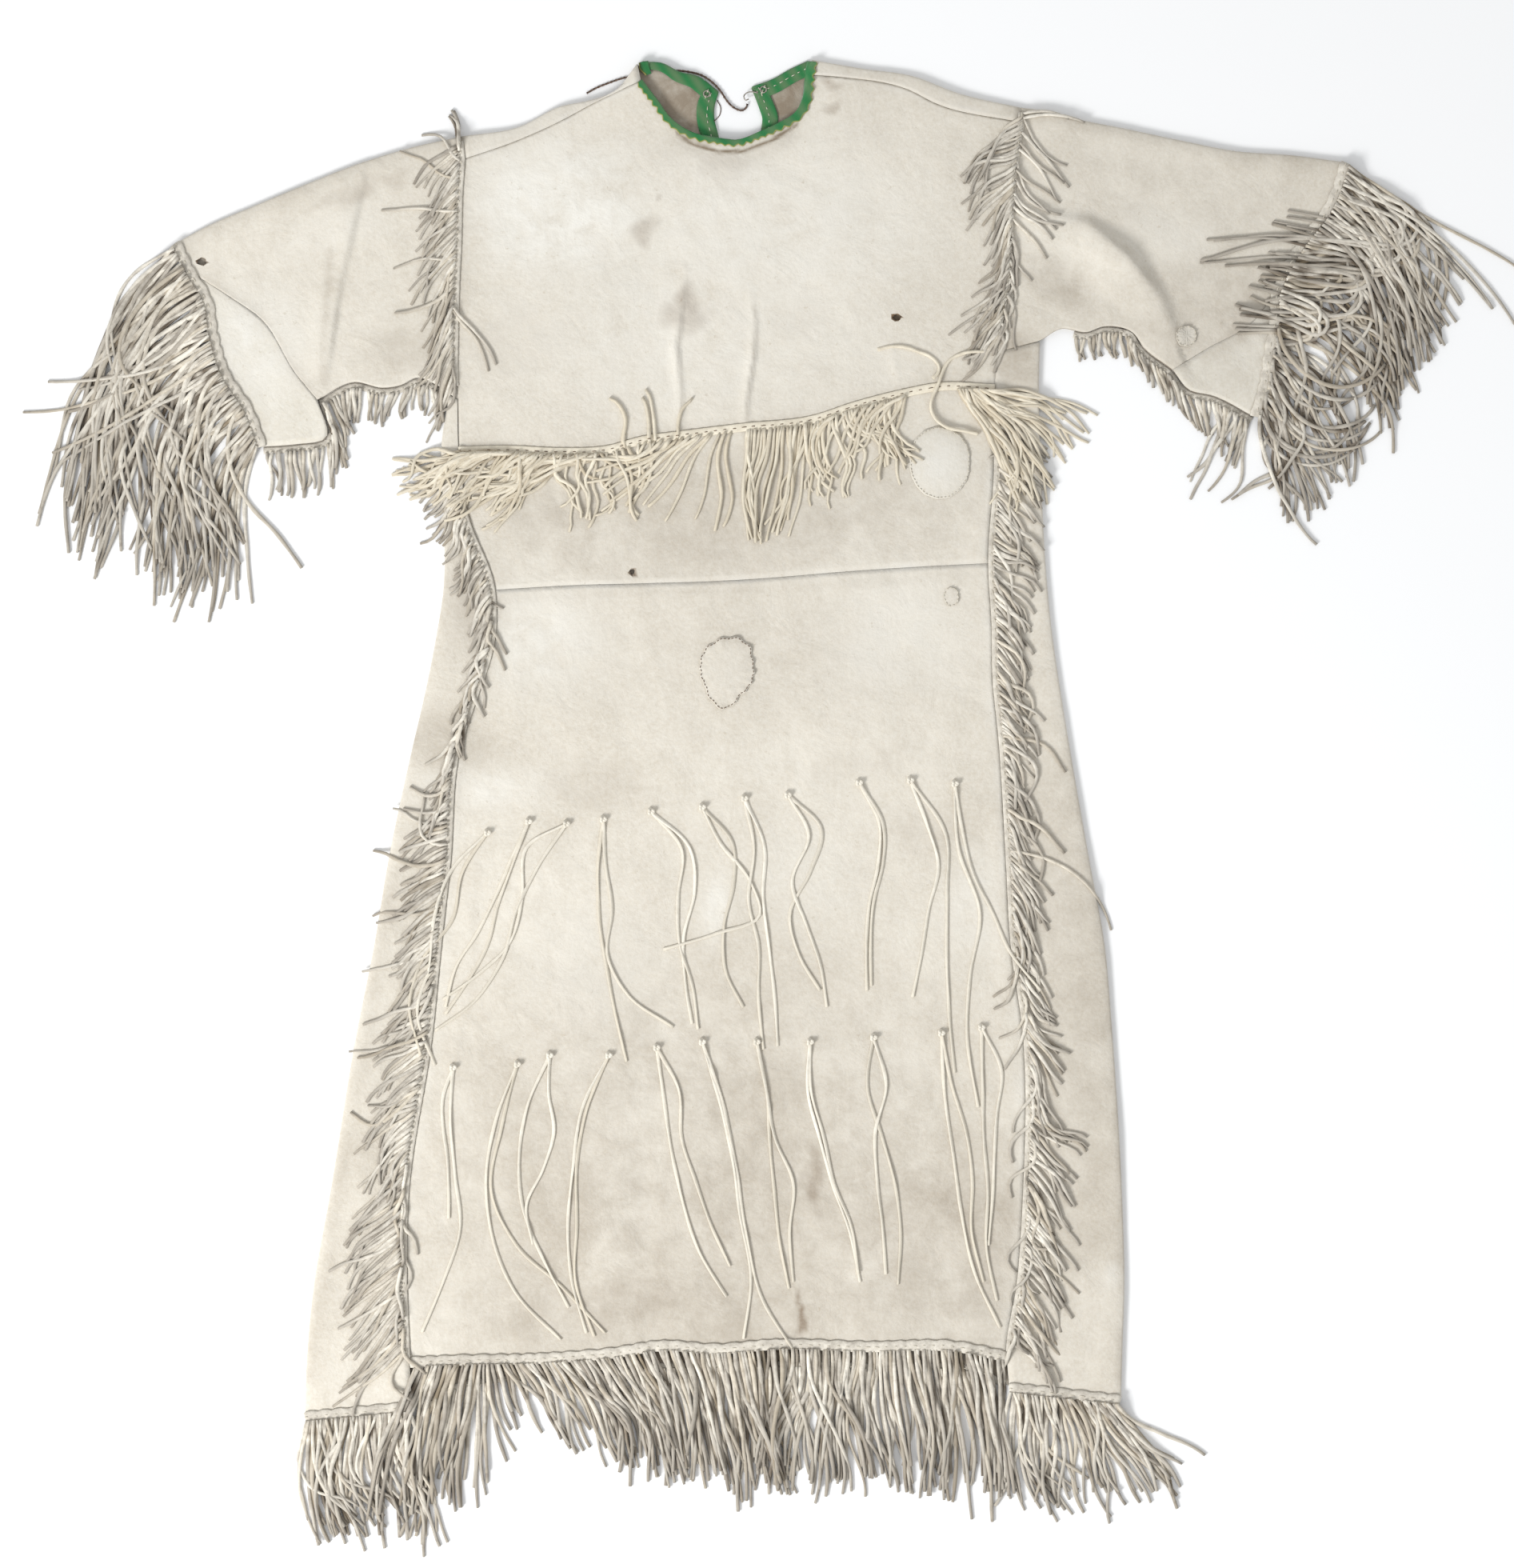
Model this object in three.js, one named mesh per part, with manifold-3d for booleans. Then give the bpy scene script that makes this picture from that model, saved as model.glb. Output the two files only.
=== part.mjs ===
// A buckskin dress with long fringes, laid out flat on its back with its front up.
// Millimetres. X runs to the right as the dress lies, Y towards its neck, and Z up from the
// surface that it lies on, which is Z = 0.
import * as THREE from "three";
import { mergeVertices } from "three/addons/utils/BufferGeometryUtils.js";
import Module from "manifold-3d";

const wasm = await Module();
wasm.setup();

// Driving sizes
const HIDE = 1.6; // thickness of the hide
const SEAM_ROOM = 0.2; // each piece stops this far short of its seam line
const REST_ROOM = 0.3; // room between a piece and what it lies on
const BACK_Z = HIDE / 2; // middle of the layer that lies on the surface
const FRONT_Z = 3.2; // middle of the layer on top of it
const FOLD_REACH = 1.2; // how far a fold's middle line rounds out past the flat layers
const FOLD_STEPS = 3;
const BAND = 0.9; // thickness of the cloth binding
const STRIP = { width: 6, thickness: 1.6 }; // the narrow strip that a fringe is cut from
const EDGE_OFFSET = STRIP.width / 2 + 0.45; // from an edge to the middle of the strip beside it
const SEAM_STRIP = { side: 2, waist: 3, armhole: 4 }; // how far those strips lie beside their seams
// A strand is a little ridge: its root is thinner, it leaves the strip by its lead, and it tapers.
const STRAND = { thickness: 1.9, rootScale: 0.6, lead: 3, taper: 0.35 };
const STRAND_SCATTER = { falls: 1.6, length: 0.14 }; // against the stray of its heading, and its length
const STRING = 1.8; // diameter of the neck string
const THONG = { width: 3.2, thickness: 1.5 };
const THONG_KNOT = { halfLength: 3.8, halfWidth: 3.2, halfHeight: 1.35 };
const WIRE = 1.1; // diameter of the hook's wire and of the eyes
const CORD_SIDES = 8;
const HOLE_CUT_DEPTH = 12;

const COLOURS = {
  hide: 0xded8cc,
  shade: 0xc8c0b2,
  fringe: 0xb4ab9b,
  cream: 0xe1d4b9,
  binding: 0x3c8c4b,
  string: 0x4a3a32,
  steel: 0x9a948a,
};

// Seams and edges, in plan, each read from left to right or from the neck down.
const SHOULDER_FOLD = {
  left: [[-240, 603], [-187, 612], [-151, 630], [-122, 636], [-101, 644], [-81, 668]],
  right: [[76, 672], [122, 664], [164, 658], [207, 642], [264, 629]],
};
const SHOULDER_SEAM = {
  left: [[-238, 583], [-194, 598], [-151, 617], [-119, 634], [-78, 653]],
  right: [[75, 659], [101, 657], [164, 645], [185, 634], [264, 616]],
};
const NECK_FRONT = [[-78, 653], [-63, 636], [-52, 620], [-30, 606], [6, 600], [29, 608], [55, 620],
  [66, 632], [75, 659]];
const NECK_BACK = {
  left: [[-81, 668], [-60, 669], [-44, 661], [-27, 657], [-9, 644]],
  right: [[22, 648], [41, 655], [55, 663], [76, 672]],
};
const SLIT_END = [-4, 490];
const BACK_WAIST_MIDDLE = [SLIT_END[0], 342];
const SLIT = {
  left: [[-9, 644], [-13, 630], [-13, 620], [-9, 603], SLIT_END],
  right: [[22, 648], [29, 630], [32, 620], [31, 611], SLIT_END],
};
const ARMHOLE = {
  left: [[-238, 583], [-240, 554], [-241, 511], [-243, 468], [-244, 425], [-244, 382], [-243, 367]],
  right: [[264, 616], [258, 576], [255, 540], [253, 504], [251, 468], [245, 439], [243, 410]],
};
const WAIST = [[-242, 324], [-194, 325], [-151, 323], [-108, 325], [-79, 333], [-43, 338], [14, 345],
  [76, 352], [113, 364], [155, 375], [194, 382], [240, 380]];
const SKIRT_SEAM = [[-210, 196], [-143, 200], [-71, 202], [-9, 204], [26, 206], [113, 213],
  [175, 217], [235, 220]];
const HEM_FRONT = [[-286, -497], [-238, -495], [-177, -494], [-107, -489], [-58, -482], [-14, -485],
  [42, -481], [125, -483], [207, -483], [251, -492]];
const HEM_BACK = [[-284, -537], [-252, -520], [-187, -508], [-7, -498], [137, -500], [245, -513],
  [253, -520]];

// The sides of the skirt: where the gore folds under, and where it is sewn to the front and back.
const GORE_LEFT_TOP = { y: 367, fold: -250, foldY: 371, seam: -243 };
const GORE_LEFT = [
  { y: 324, fold: -257, seam: -242 },
  { y: 266, fold: -255, seam: -235 },
  { y: 196, fold: -255, seam: -210 },
  { y: 151, fold: -262, seam: -210 },
  { y: 101, fold: -272, seam: -225 },
  { y: 58, fold: -282, seam: -240 },
  { y: -50, fold: -305, seam: -250 },
  { y: -122, fold: -317, seam: -258 },
  { y: -202, fold: -333, seam: -266 },
  { y: -353, fold: -358, seam: -288 },
  { y: -425, fold: -371, seam: -289 },
  { y: -497, fold: -378, seam: -286 },
];
const GORE_LEFT_HEM = { y: -537, fold: -380, foldY: -546, seam: -284 };
const GORE_RIGHT_TOP = { y: 410, fold: 280, foldY: 419, seam: 243 };
const GORE_RIGHT = [
  { y: 380, fold: 279, seam: 240 },
  { y: 300, fold: 281, seam: 240 },
  { y: 220, fold: 285, seam: 235 },
  { y: 165, fold: 290, seam: 238 },
  { y: 115, fold: 297, seam: 239 },
  { y: 65, fold: 305, seam: 244 },
  { y: -50, fold: 325, seam: 251 },
  { y: -122, fold: 338, seam: 255 },
  { y: -202, fold: 345, seam: 266 },
  { y: -353, fold: 354, seam: 266 },
  { y: -425, fold: 356, seam: 261 },
  { y: -492, fold: 354, seam: 251 },
];
const GORE_RIGHT_HEM = { y: -520, fold: 353, foldY: -531, seam: 253 };
const SKIRT_SEAM_ROW = 2; // the row of both tables at which the skirt's cross seam lies

// The sleeves lie folded along the top, with the underarm seam below and a corner piece at the cuff.
const SLEEVE_LEFT = {
  fold: [[-240, 603], [-281, 594], [-328, 580], [-382, 559], [-425, 541], [-467, 523], [-495, 508]],
  cuffAbove: [[-495, 508], [-482, 481]],
  cuffBelow: [[-482, 481], [-467, 456], [-462, 426], [-452, 392], [-430, 357], [-418, 325]],
  insertSeam: [[-482, 481], [-447, 459], [-420, 440], [-388, 390], [-369, 367]],
  underarm: [[-243, 367], [-261, 380], [-279, 387], [-295, 380], [-310, 378], [-336, 383], [-369, 367]],
  insertEdge: [[-369, 367], [-361, 333], [-389, 327], [-418, 325]],
  rowsAbove: 1,
};
const SLEEVE_RIGHT = {
  fold: [[264, 629], [281, 627], [317, 618], [353, 611], [405, 600], [457, 590], [510, 586],
    [554, 580]],
  cuffAbove: [[554, 580], [546, 554], [536, 534], [518, 511], [500, 482], [491, 461]],
  cuffBelow: [[491, 461], [491, 439], [486, 410], [481, 379], [473, 352]],
  insertSeam: [[491, 461], [471, 436], [431, 413], [400, 394]],
  underarm: [[243, 410], [280, 420], [300, 431], [323, 428], [338, 433], [363, 428], [375, 413],
    [400, 394]],
  insertEdge: [[400, 394], [415, 376], [436, 371], [473, 352]],
  rowsAbove: 4,
};

// Soft folds and creases of the front layer: a ridge where the height is positive.
const FOLDS = {
  sleeveRidge: {
    path: [[285, 531], [323, 521], [358, 492], [386, 456], [399, 425]], height: 3.6, reach: 15,
  },
  sleeveRidgeEnd: { path: [[352, 500], [384, 462], [392, 440]], height: 1.2, reach: 10 },
  leftSleeveOverlap: { path: [[-334, 554], [-352, 469], [-362, 390]], height: 2.4, reach: 13 },
  leftSleeveHollow: { path: [[-352, 552], [-373, 470], [-384, 400]], height: -0.5, reach: 12 },
  bodicePleatLeft: { path: [[-37, 461], [-41, 367]], height: 1.6, reach: 7 },
  bodicePleatRight: { path: [[22, 455], [19, 346]], height: 1.5, reach: 7 },
  skirtWave1: { path: [[-105, -250], [-112, -480]], height: 1.4, reach: 26 },
  skirtWave2: { path: [[-20, -280], [-14, -480]], height: 1.2, reach: 30 },
  skirtWave3: { path: [[120, -330], [128, -480]], height: 1.5, reach: 24 },
  skirtWave4: { path: [[225, -360], [222, -480]], height: 1.5, reach: 20 },
  goreLeft: { path: [[-285, 10], [-318, -200], [-340, -380]], height: 1.3, reach: 20 },
  goreRight: { path: [[290, 40], [310, -160], [318, -420]], height: 1.3, reach: 22 },
};
// The neck string passes under the dress at the left end of the neckline and lifts it there.
const STRING_TUNNEL = {
  path: [[-94, 655], [-45, 663]], height: 3.6, reach: 26, frontHeight: 4.8, frontReach: 40,
};
// The bindings of the back slit lie between the two layers and part them.
const SLIT_RISE = { path: [[8, 640], [2, 500]], height: 1.6, reach: 46 };

// Neck closure and the thong tied in at the waist
const BINDING_FRONT = { width: 6.5, teeth: 48, toothDepth: 2 };
const BINDING_BACK = { width: 6.5, slitWidth: 11, foot: 7, points: 5, end: 575 };
const EYELET_SIDES = { wire: 5, ring: 10 };
const EYELETS = [
  { name: "neck_eye_left", x: -19, y: 642, radius: 2.7 },
  { name: "neck_eye_right", x: 32, y: 646, radius: 2.7 },
];
const HOOK = [[27, 643, 3.4], [22, 644, 3.6], [17, 643, 3.7], [14.5, 640, 3.8], [16, 636.5, 3.8],
  [19, 637.5, 3.8]];
const HOOK_STEPS = 12;
const NECK_STRING_STEPS = 34;
const NECK_STRING = [[-127, 643, 1.2], [-119, 647.5, 1.2], [-108, 652, 1.2], [-95, 656.5, 1.2],
  [-80, 659.5, 1.2], [-62, 662.5, 1.2], [-44, 663.5, 1.2], [-33, 662, 1.2], [-24, 659.5, 1.2],
  [-14, 653, 1.2], [-6.5, 645, 1.25],
  [-2, 638, 1.3], [3, 632, 1.3], [8.5, 628.5, 1.3], [13, 627.5, 1.4], [16.5, 630, 1.6], [17.6, 633.5, 1.8]];
// The thong that laces the waist fringe is knotted near its right end and leaves two free ends.
const WAIST_TIE = 3;
const WAIST_TIES = [
  { name: "waist_tie_left", steps: 12, route: [[135, 412, 5.8], [144, 414.5, 5.8], [153, 415, 5.8],
    [163, 413.5, 5.8], [172, 410, 5.8], [180, 407, 5.9], [187, 402, 6], [190, 396.5, 6.6],
    [189, 391, 7.8], [184, 386, 8.7]] },
  { name: "waist_tie_right", steps: 22, route: [[234, 409, 6.4], [228, 410, 7.4], [222, 410, 8.2],
    [216, 409.5, 7.6], [210, 408, 6.4], [204, 405.5, 6.1], [199, 402, 6.2], [195, 396, 6.8],
    [192.5, 390, 8], [190, 383, 9],
    [187, 376, 9], [184, 369, 8.9], [182.5, 363, 8.5], [183, 357, 8.2], [186, 351, 7.9], [190.5, 346, 8],
    [197, 342, 8.6], [204, 340, 9], [211, 339, 8.9], [218, 337.5, 8.2], [225, 336, 7.4]] },
];

// Patches sewn on, and the crown that each stands up by. A ring between the middle and the edge
// rounds it, and each point rests on whatever lies within the foot's reach of it.
const PATCH_RING = 0.62;
const PATCH_FOOT = 6;
const PATCHES = [
  { name: "patch_waist", x: 191, y: 310, outline: [[26, 0], [24, 17], [11, 30], [-8, 32], [-22, 22], [-27, 2],
    [-24, -16], [-13, -29], [6, -32], [21, -20]], crown: 1.6 },
  { name: "patch_skirt", x: -3, y: 122, outline: [[25, 12], [23, 25], [10, 32], [-6, 29], [-19, 19], [-22, 4],
    [-17, -12], [-8, -30], [2, -35], [12, -22]], crown: 1.2 },
  { name: "patch_small", x: 201, y: 190, outline: [[6, 1], [4, 7], [-2, 8], [-6, 4], [-6, -3],
    [-3, -8], [3, -8]],
    crown: 0.5 },
  { name: "patch_sleeve", x: 412, y: 424, outline: [[9, 0], [7, 7], [0, 9], [-7, 6], [-9, -1],
    [-6, -8], [1, -9],
    [7, -6]], crown: 0.6 },
];
const HOLE_CORNERS = 8;
const WORN_HOLES = [
  { piece: "front_bodice", x: 152, y: 441, halfWidth: 3.6, halfHeight: 2.6 },
  { piece: "skirt_upper", x: -86, y: 212.5, halfWidth: 2.1, halfHeight: 2.4 },
  { piece: "sleeve_left", x: -473, y: 491, halfWidth: 4, halfHeight: 3 },
];

// Fringes: guides give, at a place between 0 and 1 along the strip, the heading of a strand at its
// root and where it falls to, in degrees from X, and its length. A high curl turns it at once.
const FRINGES = {
  hem_fringe_back: { count: 11, stray: 6, segments: 2, width: 8, guides: [
    { at: 0, heading: -96, falls: -90, length: 96 },
    { at: 0.5, heading: -90, falls: -88, length: 104 },
    { at: 1, heading: -84, falls: -78, length: 96 },
  ] },
  hem_fringe_left: { count: 7, stray: 8, segments: 2, width: 7, guides: [
    { at: 0, heading: -92, falls: -72, length: 108 },
    { at: 1, heading: -92, falls: -86, length: 118 },
  ] },
  hem_fringe_right: { count: 7, stray: 8, segments: 2, width: 7, guides: [
    { at: 0, heading: -82, falls: -62, length: 88 },
    { at: 1, heading: -62, falls: -42, length: 106 },
  ] },
  hem_fringe_front: { count: 24, stray: 6, segments: 2, width: 7.5, guides: [
    { at: 0, heading: -104, falls: -96, length: 128 },
    { at: 0.15, heading: -96, falls: -104, length: 118 },
    { at: 0.24, heading: -92, falls: -84, length: 92 },
    { at: 0.34, heading: -88, falls: -80, length: 118 },
    { at: 0.7, heading: -90, falls: -86, length: 126 },
    { at: 1, heading: -84, falls: -84, length: 128 },
  ] },
  underarm_fringe_left: { count: 8, stray: 8, segments: 2, width: 5.5, guides: [
    { at: 0, heading: -100, falls: -96, length: 32 },
    { at: 0.45, heading: -92, falls: -90, length: 44 },
    { at: 0.6, heading: -56, falls: -80, length: 44 },
    { at: 0.75, heading: -76, falls: -84, length: 44 },
    { at: 1, heading: -104, falls: -108, length: 40 },
  ] },
  underarm_fringe_right: { count: 9, stray: 8, segments: 2, width: 5.5, guides: [
    { at: 0, heading: -88, falls: -82, length: 26 },
    { at: 0.5, heading: -82, falls: -72, length: 38 },
    { at: 1, heading: -96, falls: -100, length: 40 },
  ] },
  cuff_fringe_left: { count: 21, stray: 6, segments: 3, width: 6.5, guides: [
    { at: 0, heading: 205, falls: 256, length: 180 },
    { at: 0.35, heading: 208, falls: 261, length: 192 },
    { at: 0.7, heading: 219, falls: 274, length: 180 },
    { at: 1, heading: 240, falls: 285, length: 158 },
  ] },
  cuff_fringe_right: { count: 16, stray: 6, segments: 3, width: 6.5, guides: [
    { at: 0, heading: -8, falls: -68, length: 186 },
    { at: 0.3, heading: 2, falls: -84, length: 178 },
    { at: 0.6, heading: -6, falls: -84, length: 162 },
    { at: 1, heading: -56, falls: -100, length: 96 },
  ] },
  side_fringe_left: { count: 19, stray: 8, segments: 2, width: 5.5, guides: [
    { at: 0, heading: 226, falls: 236, length: 54 },
    { at: 0.15, heading: 240, falls: 250, length: 50 },
    { at: 0.3, heading: 236, falls: 246, length: 38 },
    { at: 0.45, heading: 226, falls: 236, length: 52 },
    { at: 0.75, heading: 226, falls: 240, length: 60 },
    { at: 1, heading: 228, falls: 248, length: 66 },
  ] },
  side_fringe_right: { count: 19, stray: 8, segments: 2, width: 5.5, guides: [
    { at: 0, heading: -36, falls: -46, length: 62 },
    { at: 0.3, heading: -46, falls: -58, length: 56 },
    { at: 0.5, heading: -52, falls: -72, length: 58 },
    { at: 0.75, heading: -52, falls: -66, length: 62 },
    { at: 1, heading: -44, falls: -62, length: 70 },
  ] },
  armhole_fringe_left: { count: 8, stray: 10, segments: 2, width: 5.5, guides: [
    { at: 0, heading: 208, falls: 226, length: 48 },
    { at: 0.5, heading: 216, falls: 236, length: 44 },
    { at: 1, heading: 228, falls: 246, length: 50 },
  ] },
  armhole_fringe_right: { count: 6, stray: 9, segments: 2, width: 5.5, guides: [
    { at: 0, heading: 222, falls: 236, length: 62 },
    { at: 0.5, heading: 212, falls: 232, length: 58 },
    { at: 1, heading: 222, falls: 244, length: 50 },
  ] },
  waist_fringe: { count: 16, stray: 9, segments: 2, width: 5.5, guides: [
    { at: 0, heading: 196, falls: 212, length: 62 },
    { at: 0.1, heading: 212, falls: 232, length: 62 },
    { at: 0.25, heading: 236, falls: 252, length: 46 },
    { at: 0.5, heading: 262, falls: 258, length: 50 },
    { at: 0.64, heading: 268, falls: 278, length: 84 },
    { at: 0.8, heading: 262, falls: 256, length: 58 },
    { at: 0.92, heading: 286, falls: 296, length: 54 },
    { at: 1, heading: 312, falls: 318, length: 66 },
  ] },
};
// Strands that leave a strip apart from the rest: turned back over the sleeve, or strayed
const STRIP_ENDS = { from: 0.015, to: 0.985 };
const FLYER_ROW = { stray: 5, salt: 7, segments: 5 };
const FLYERS = {
  cuff_fringe_left: [
    { from: 0.03, to: 0.09, count: 2, curl: 1, guides: [
      { at: 0, heading: 200, falls: 292, length: 150 },
      { at: 1, heading: 192, falls: 262, length: 186 },
    ] },
  ],
  cuff_fringe_right: [
    { from: 0.02, to: 0.5, count: 7, curl: 6, guides: [
      { at: 0, heading: 30, falls: 186, length: 168 },
      { at: 0.3, heading: 25, falls: 186, length: 138 },
      { at: 0.5, heading: 20, falls: 200, length: 96 },
    ] },
    { from: 0.97, to: 0.97, count: 1, curl: 1, guides: [
      { at: 0, heading: -94, falls: -48, length: 138 },
      { at: 1, heading: -94, falls: -48, length: 138 },
    ] },
  ],
  armhole_fringe_right: [
    { from: 0.04, to: 0.9, count: 5, curl: 1, guides: [
      { at: 0, heading: -26, falls: -44, length: 58 },
      { at: 1, heading: -46, falls: -68, length: 46 },
    ] },
  ],
  side_fringe_right: [
    { from: 0.4, to: 0.4, count: 1, curl: 1, guides: [
      { at: 0, heading: -4, falls: -66, length: 138 },
      { at: 1, heading: -4, falls: -66, length: 138 },
    ] },
  ],
};

// Thongs tied through the skirt: each tail ends at a place, and bows to its left by so much at
// each fifth of the way.
const THONGS = [
  { name: "upper_1", knot: [-216, -22], tails: [
    { to: [-263, -231], bows: [-25, -30, -25, -26] },
    { to: [-276, -222], bows: [-12, -8, -23, -23] },
  ] },
  { name: "upper_2", knot: [-179, -12], tails: [
    { to: [-254, -179], bows: [0, 1, -1, -6] },
    { to: [-254, -185], bows: [1, 3, 10, 8] },
  ] },
  { name: "upper_3", knot: [-145, -14], tails: [
    { to: [-256, -172], bows: [-17, 5, 19, 13] },
    { to: [-263, -200], bows: [-1, 4, 17, 16] },
  ] },
  { name: "upper_4", knot: [-112, -10], tails: [
    { to: [-91, -228], bows: [-9, -11, -9, -6] },
    { to: [-49, -197], bows: [-11, -18, -36, -29] },
  ] },
  { name: "upper_5", knot: [-69, -3], tails: [
    { to: [-32, -194], bows: [28, 25, 7, 1] },
    { to: [-27, -199], bows: [20, 8, 1, 4] },
  ] },
  { name: "upper_6", knot: [-23, 1], tails: [
    { to: [14, -179], bows: [20, 14, -3, -9] },
    { to: [-58, -127], bows: [24, 59, 75, 42] },
  ] },
  { name: "upper_7", knot: [15, 9], tails: [
    { to: [32, -217], bows: [5, -3, 3, -1] },
    { to: [45, -214], bows: [12, 5, 4, 3] },
  ] },
  { name: "upper_8", knot: [54, 12], tails: [
    { to: [83, -164], bows: [25, 9, -16, -14] },
    { to: [89, -179], bows: [12, -10, -5, 1] },
  ] },
  { name: "upper_9", knot: [118, 23], tails: [
    { to: [125, -164], bows: [17, 14, 5, 1] },
    { to: [129, -160], bows: [19, 18, 7, 2] },
  ] },
  { name: "upper_10", knot: [164, 25], tails: [
    { to: [166, -170], bows: [14, 24, 15, 9] },
    { to: [204, -238], bows: [24, 17, 8, 3] },
  ] },
  { name: "upper_11", knot: [204, 22], tails: [
    { to: [225, -269], bows: [-1, 14, 1, -5] },
    { to: [281, -164], bows: [-10, -16, -13, -11] },
  ] },
  { name: "lower_1", knot: [-247, -233], tails: [
    { to: [-251, -369], bows: [-8, -7, -2, 0] },
    { to: [-275, -471], bows: [3, 13, 23, 14] },
  ] },
  { name: "lower_2", knot: [-189, -230], tails: [
    { to: [-150, -478], bows: [-29, -45, -46, -34] },
    { to: [-110, -472], bows: [-32, -58, -52, -24] },
  ] },
  { name: "lower_3", knot: [-160, -222], tails: [
    { to: [-143, -449], bows: [-24, -34, -34, -20] },
    { to: [-175, -392], bows: [2, 10, 3, -9] },
  ] },
  { name: "lower_4", knot: [-107, -222], tails: [
    { to: [-127, -472], bows: [-20, -24, -25, -18] },
    { to: [-120, -475], bows: [-18, -24, -21, -20] },
  ] },
  { name: "lower_5", knot: [-64, -215], tails: [
    { to: [-1, -439], bows: [-6, -12, -15, -13] },
    { to: [2, -412], bows: [6, -5, -5, -4] },
  ] },
  { name: "lower_6", knot: [-23, -210], tails: [
    { to: [14, -477], bows: [8, 12, 12, 14] },
    { to: [61, -490], bows: [2, -3, -11, -15] },
  ] },
  { name: "lower_7", knot: [26, -210], tails: [
    { to: [55, -432], bows: [3, 1, -1, -3] },
    { to: [59, -426], bows: [2, 3, 13, 3] },
  ] },
  { name: "lower_8", knot: [74, -210], tails: [
    { to: [119, -426], bows: [-11, -9, -6, 0] },
    { to: [117, -418], bows: [-8, -5, -4, 3] },
  ] },
  { name: "lower_9", knot: [131, -206], tails: [
    { to: [153, -428], bows: [-10, -1, 6, 7] },
    { to: [142, -419], bows: [9, -3, -4, -1] },
  ] },
  { name: "lower_10", knot: [192, -202], tails: [
    { to: [245, -467], bows: [-8, -11, -14, -13] },
    { to: [230, -426], bows: [1, 7, 5, -3] },
  ] },
  { name: "lower_11", knot: [228, -197], tails: [
    { to: [242, -443], bows: [-2, -3, -2, -7] },
    { to: [234, -393], bows: [17, 12, 8, 5] },
  ] },
];

// Plane geometry
const lerp = (a, b, t) => a + (b - a) * t;
const mix = (p, q, t) => p.map((value, k) => lerp(value, q[k], t));
const distance = (p, q) => Math.hypot(...p.map((value, k) => value - q[k]));

// A polyline cut into equal steps, ends kept.
function steps(points, count) {
  const along = [0];
  for (let i = 1; i < points.length; i += 1) along.push(along[i - 1] + distance(points[i - 1], points[i]));
  const total = along[along.length - 1];
  const result = [];
  for (let k = 0; k <= count; k += 1) result.push(pointAt(points, along, (total * k) / count));
  return result;
}

function pointAt(points, along, length) {
  let i = 1;
  while (i < points.length - 1 && along[i] < length) i += 1;
  const t = (length - along[i - 1]) / (along[i] - along[i - 1]);
  return mix(points[i - 1], points[i], Math.min(Math.max(t, 0), 1));
}

// Polylines that meet end to start, as one.
const chain = (...lines) => lines.flatMap((line, k) => (k ? line.slice(1) : line));

function distanceToPath(path, x, y) {
  let nearest = Infinity;
  for (let i = 1; i < path.length; i += 1) {
    const [ax, ay] = path[i - 1];
    const [bx, by] = path[i];
    const length2 = (bx - ax) ** 2 + (by - ay) ** 2 || 1;
    const t = Math.min(Math.max(((x - ax) * (bx - ax) + (y - ay) * (by - ay)) / length2, 0), 1);
    nearest = Math.min(nearest, Math.hypot(x - lerp(ax, bx, t), y - lerp(ay, by, t)));
  }
  return nearest;
}

const swell = (path, reach, x, y) => Math.exp(-((distanceToPath(path, x, y) / reach) ** 2));

// Height of the middle of each layer over the surface that the dress lies on.
function backHeight(x, y) {
  return BACK_Z + STRING_TUNNEL.height * swell(STRING_TUNNEL.path, STRING_TUNNEL.reach, x, y);
}

function frontHeight(x, y) {
  let z = FRONT_Z;
  for (const fold of Object.values(FOLDS)) z += fold.height * swell(fold.path, fold.reach, x, y);
  z += STRING_TUNNEL.frontHeight * swell(STRING_TUNNEL.path, STRING_TUNNEL.frontReach, x, y);
  return z + SLIT_RISE.height * swell(SLIT_RISE.path, SLIT_RISE.reach, x, y);
}

// Panels: a grid is a list of rows of points, the first row along the top edge.
function panel(top, bottom, left, right) {
  const rows = left.length - 1;
  const columns = top.length - 1;
  return left.map((leftPoint, j) => top.map((topPoint, i) => {
    const u = i / columns;
    const v = j / rows;
    return [0, 1].map((k) => {
      const across = lerp(leftPoint[k], right[j][k], u);
      const down = lerp(topPoint[k], bottom[i][k], v);
      const corners = lerp(lerp(top[0][k], top[columns][k], u), lerp(bottom[0][k], bottom[columns][k], u), v);
      return across + down - corners;
    });
  }));
}

function moveTowards(point, target, step) {
  const length = distance(point, target);
  return length < 1e-6 ? point : mix(point, target, step / length);
}

// Draws the named borders of a grid in by the room that a seam needs.
function seamed(grid, borders) {
  const last = grid.length - 1;
  const end = grid[0].length - 1;
  const result = grid.map((row) => row.map((point) => [...point]));
  const draw = (j, i, jn, inext) => {
    result[j][i] = moveTowards(result[j][i], result[jn][inext], SEAM_ROOM);
  };
  for (let j = 0; j <= last; j += 1) {
    if (borders.includes("left")) draw(j, 0, j, 1);
    if (borders.includes("right")) draw(j, end, j, end - 1);
  }
  for (let i = 0; i <= end; i += 1) {
    if (borders.includes("top")) draw(0, i, 1, i);
    if (borders.includes("bottom")) draw(last, i, last - 1, i);
  }
  return result;
}

const raised = (grid, height) => grid.map((row) => row.map(([x, y]) => [x, y, height(x, y)]));

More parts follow.
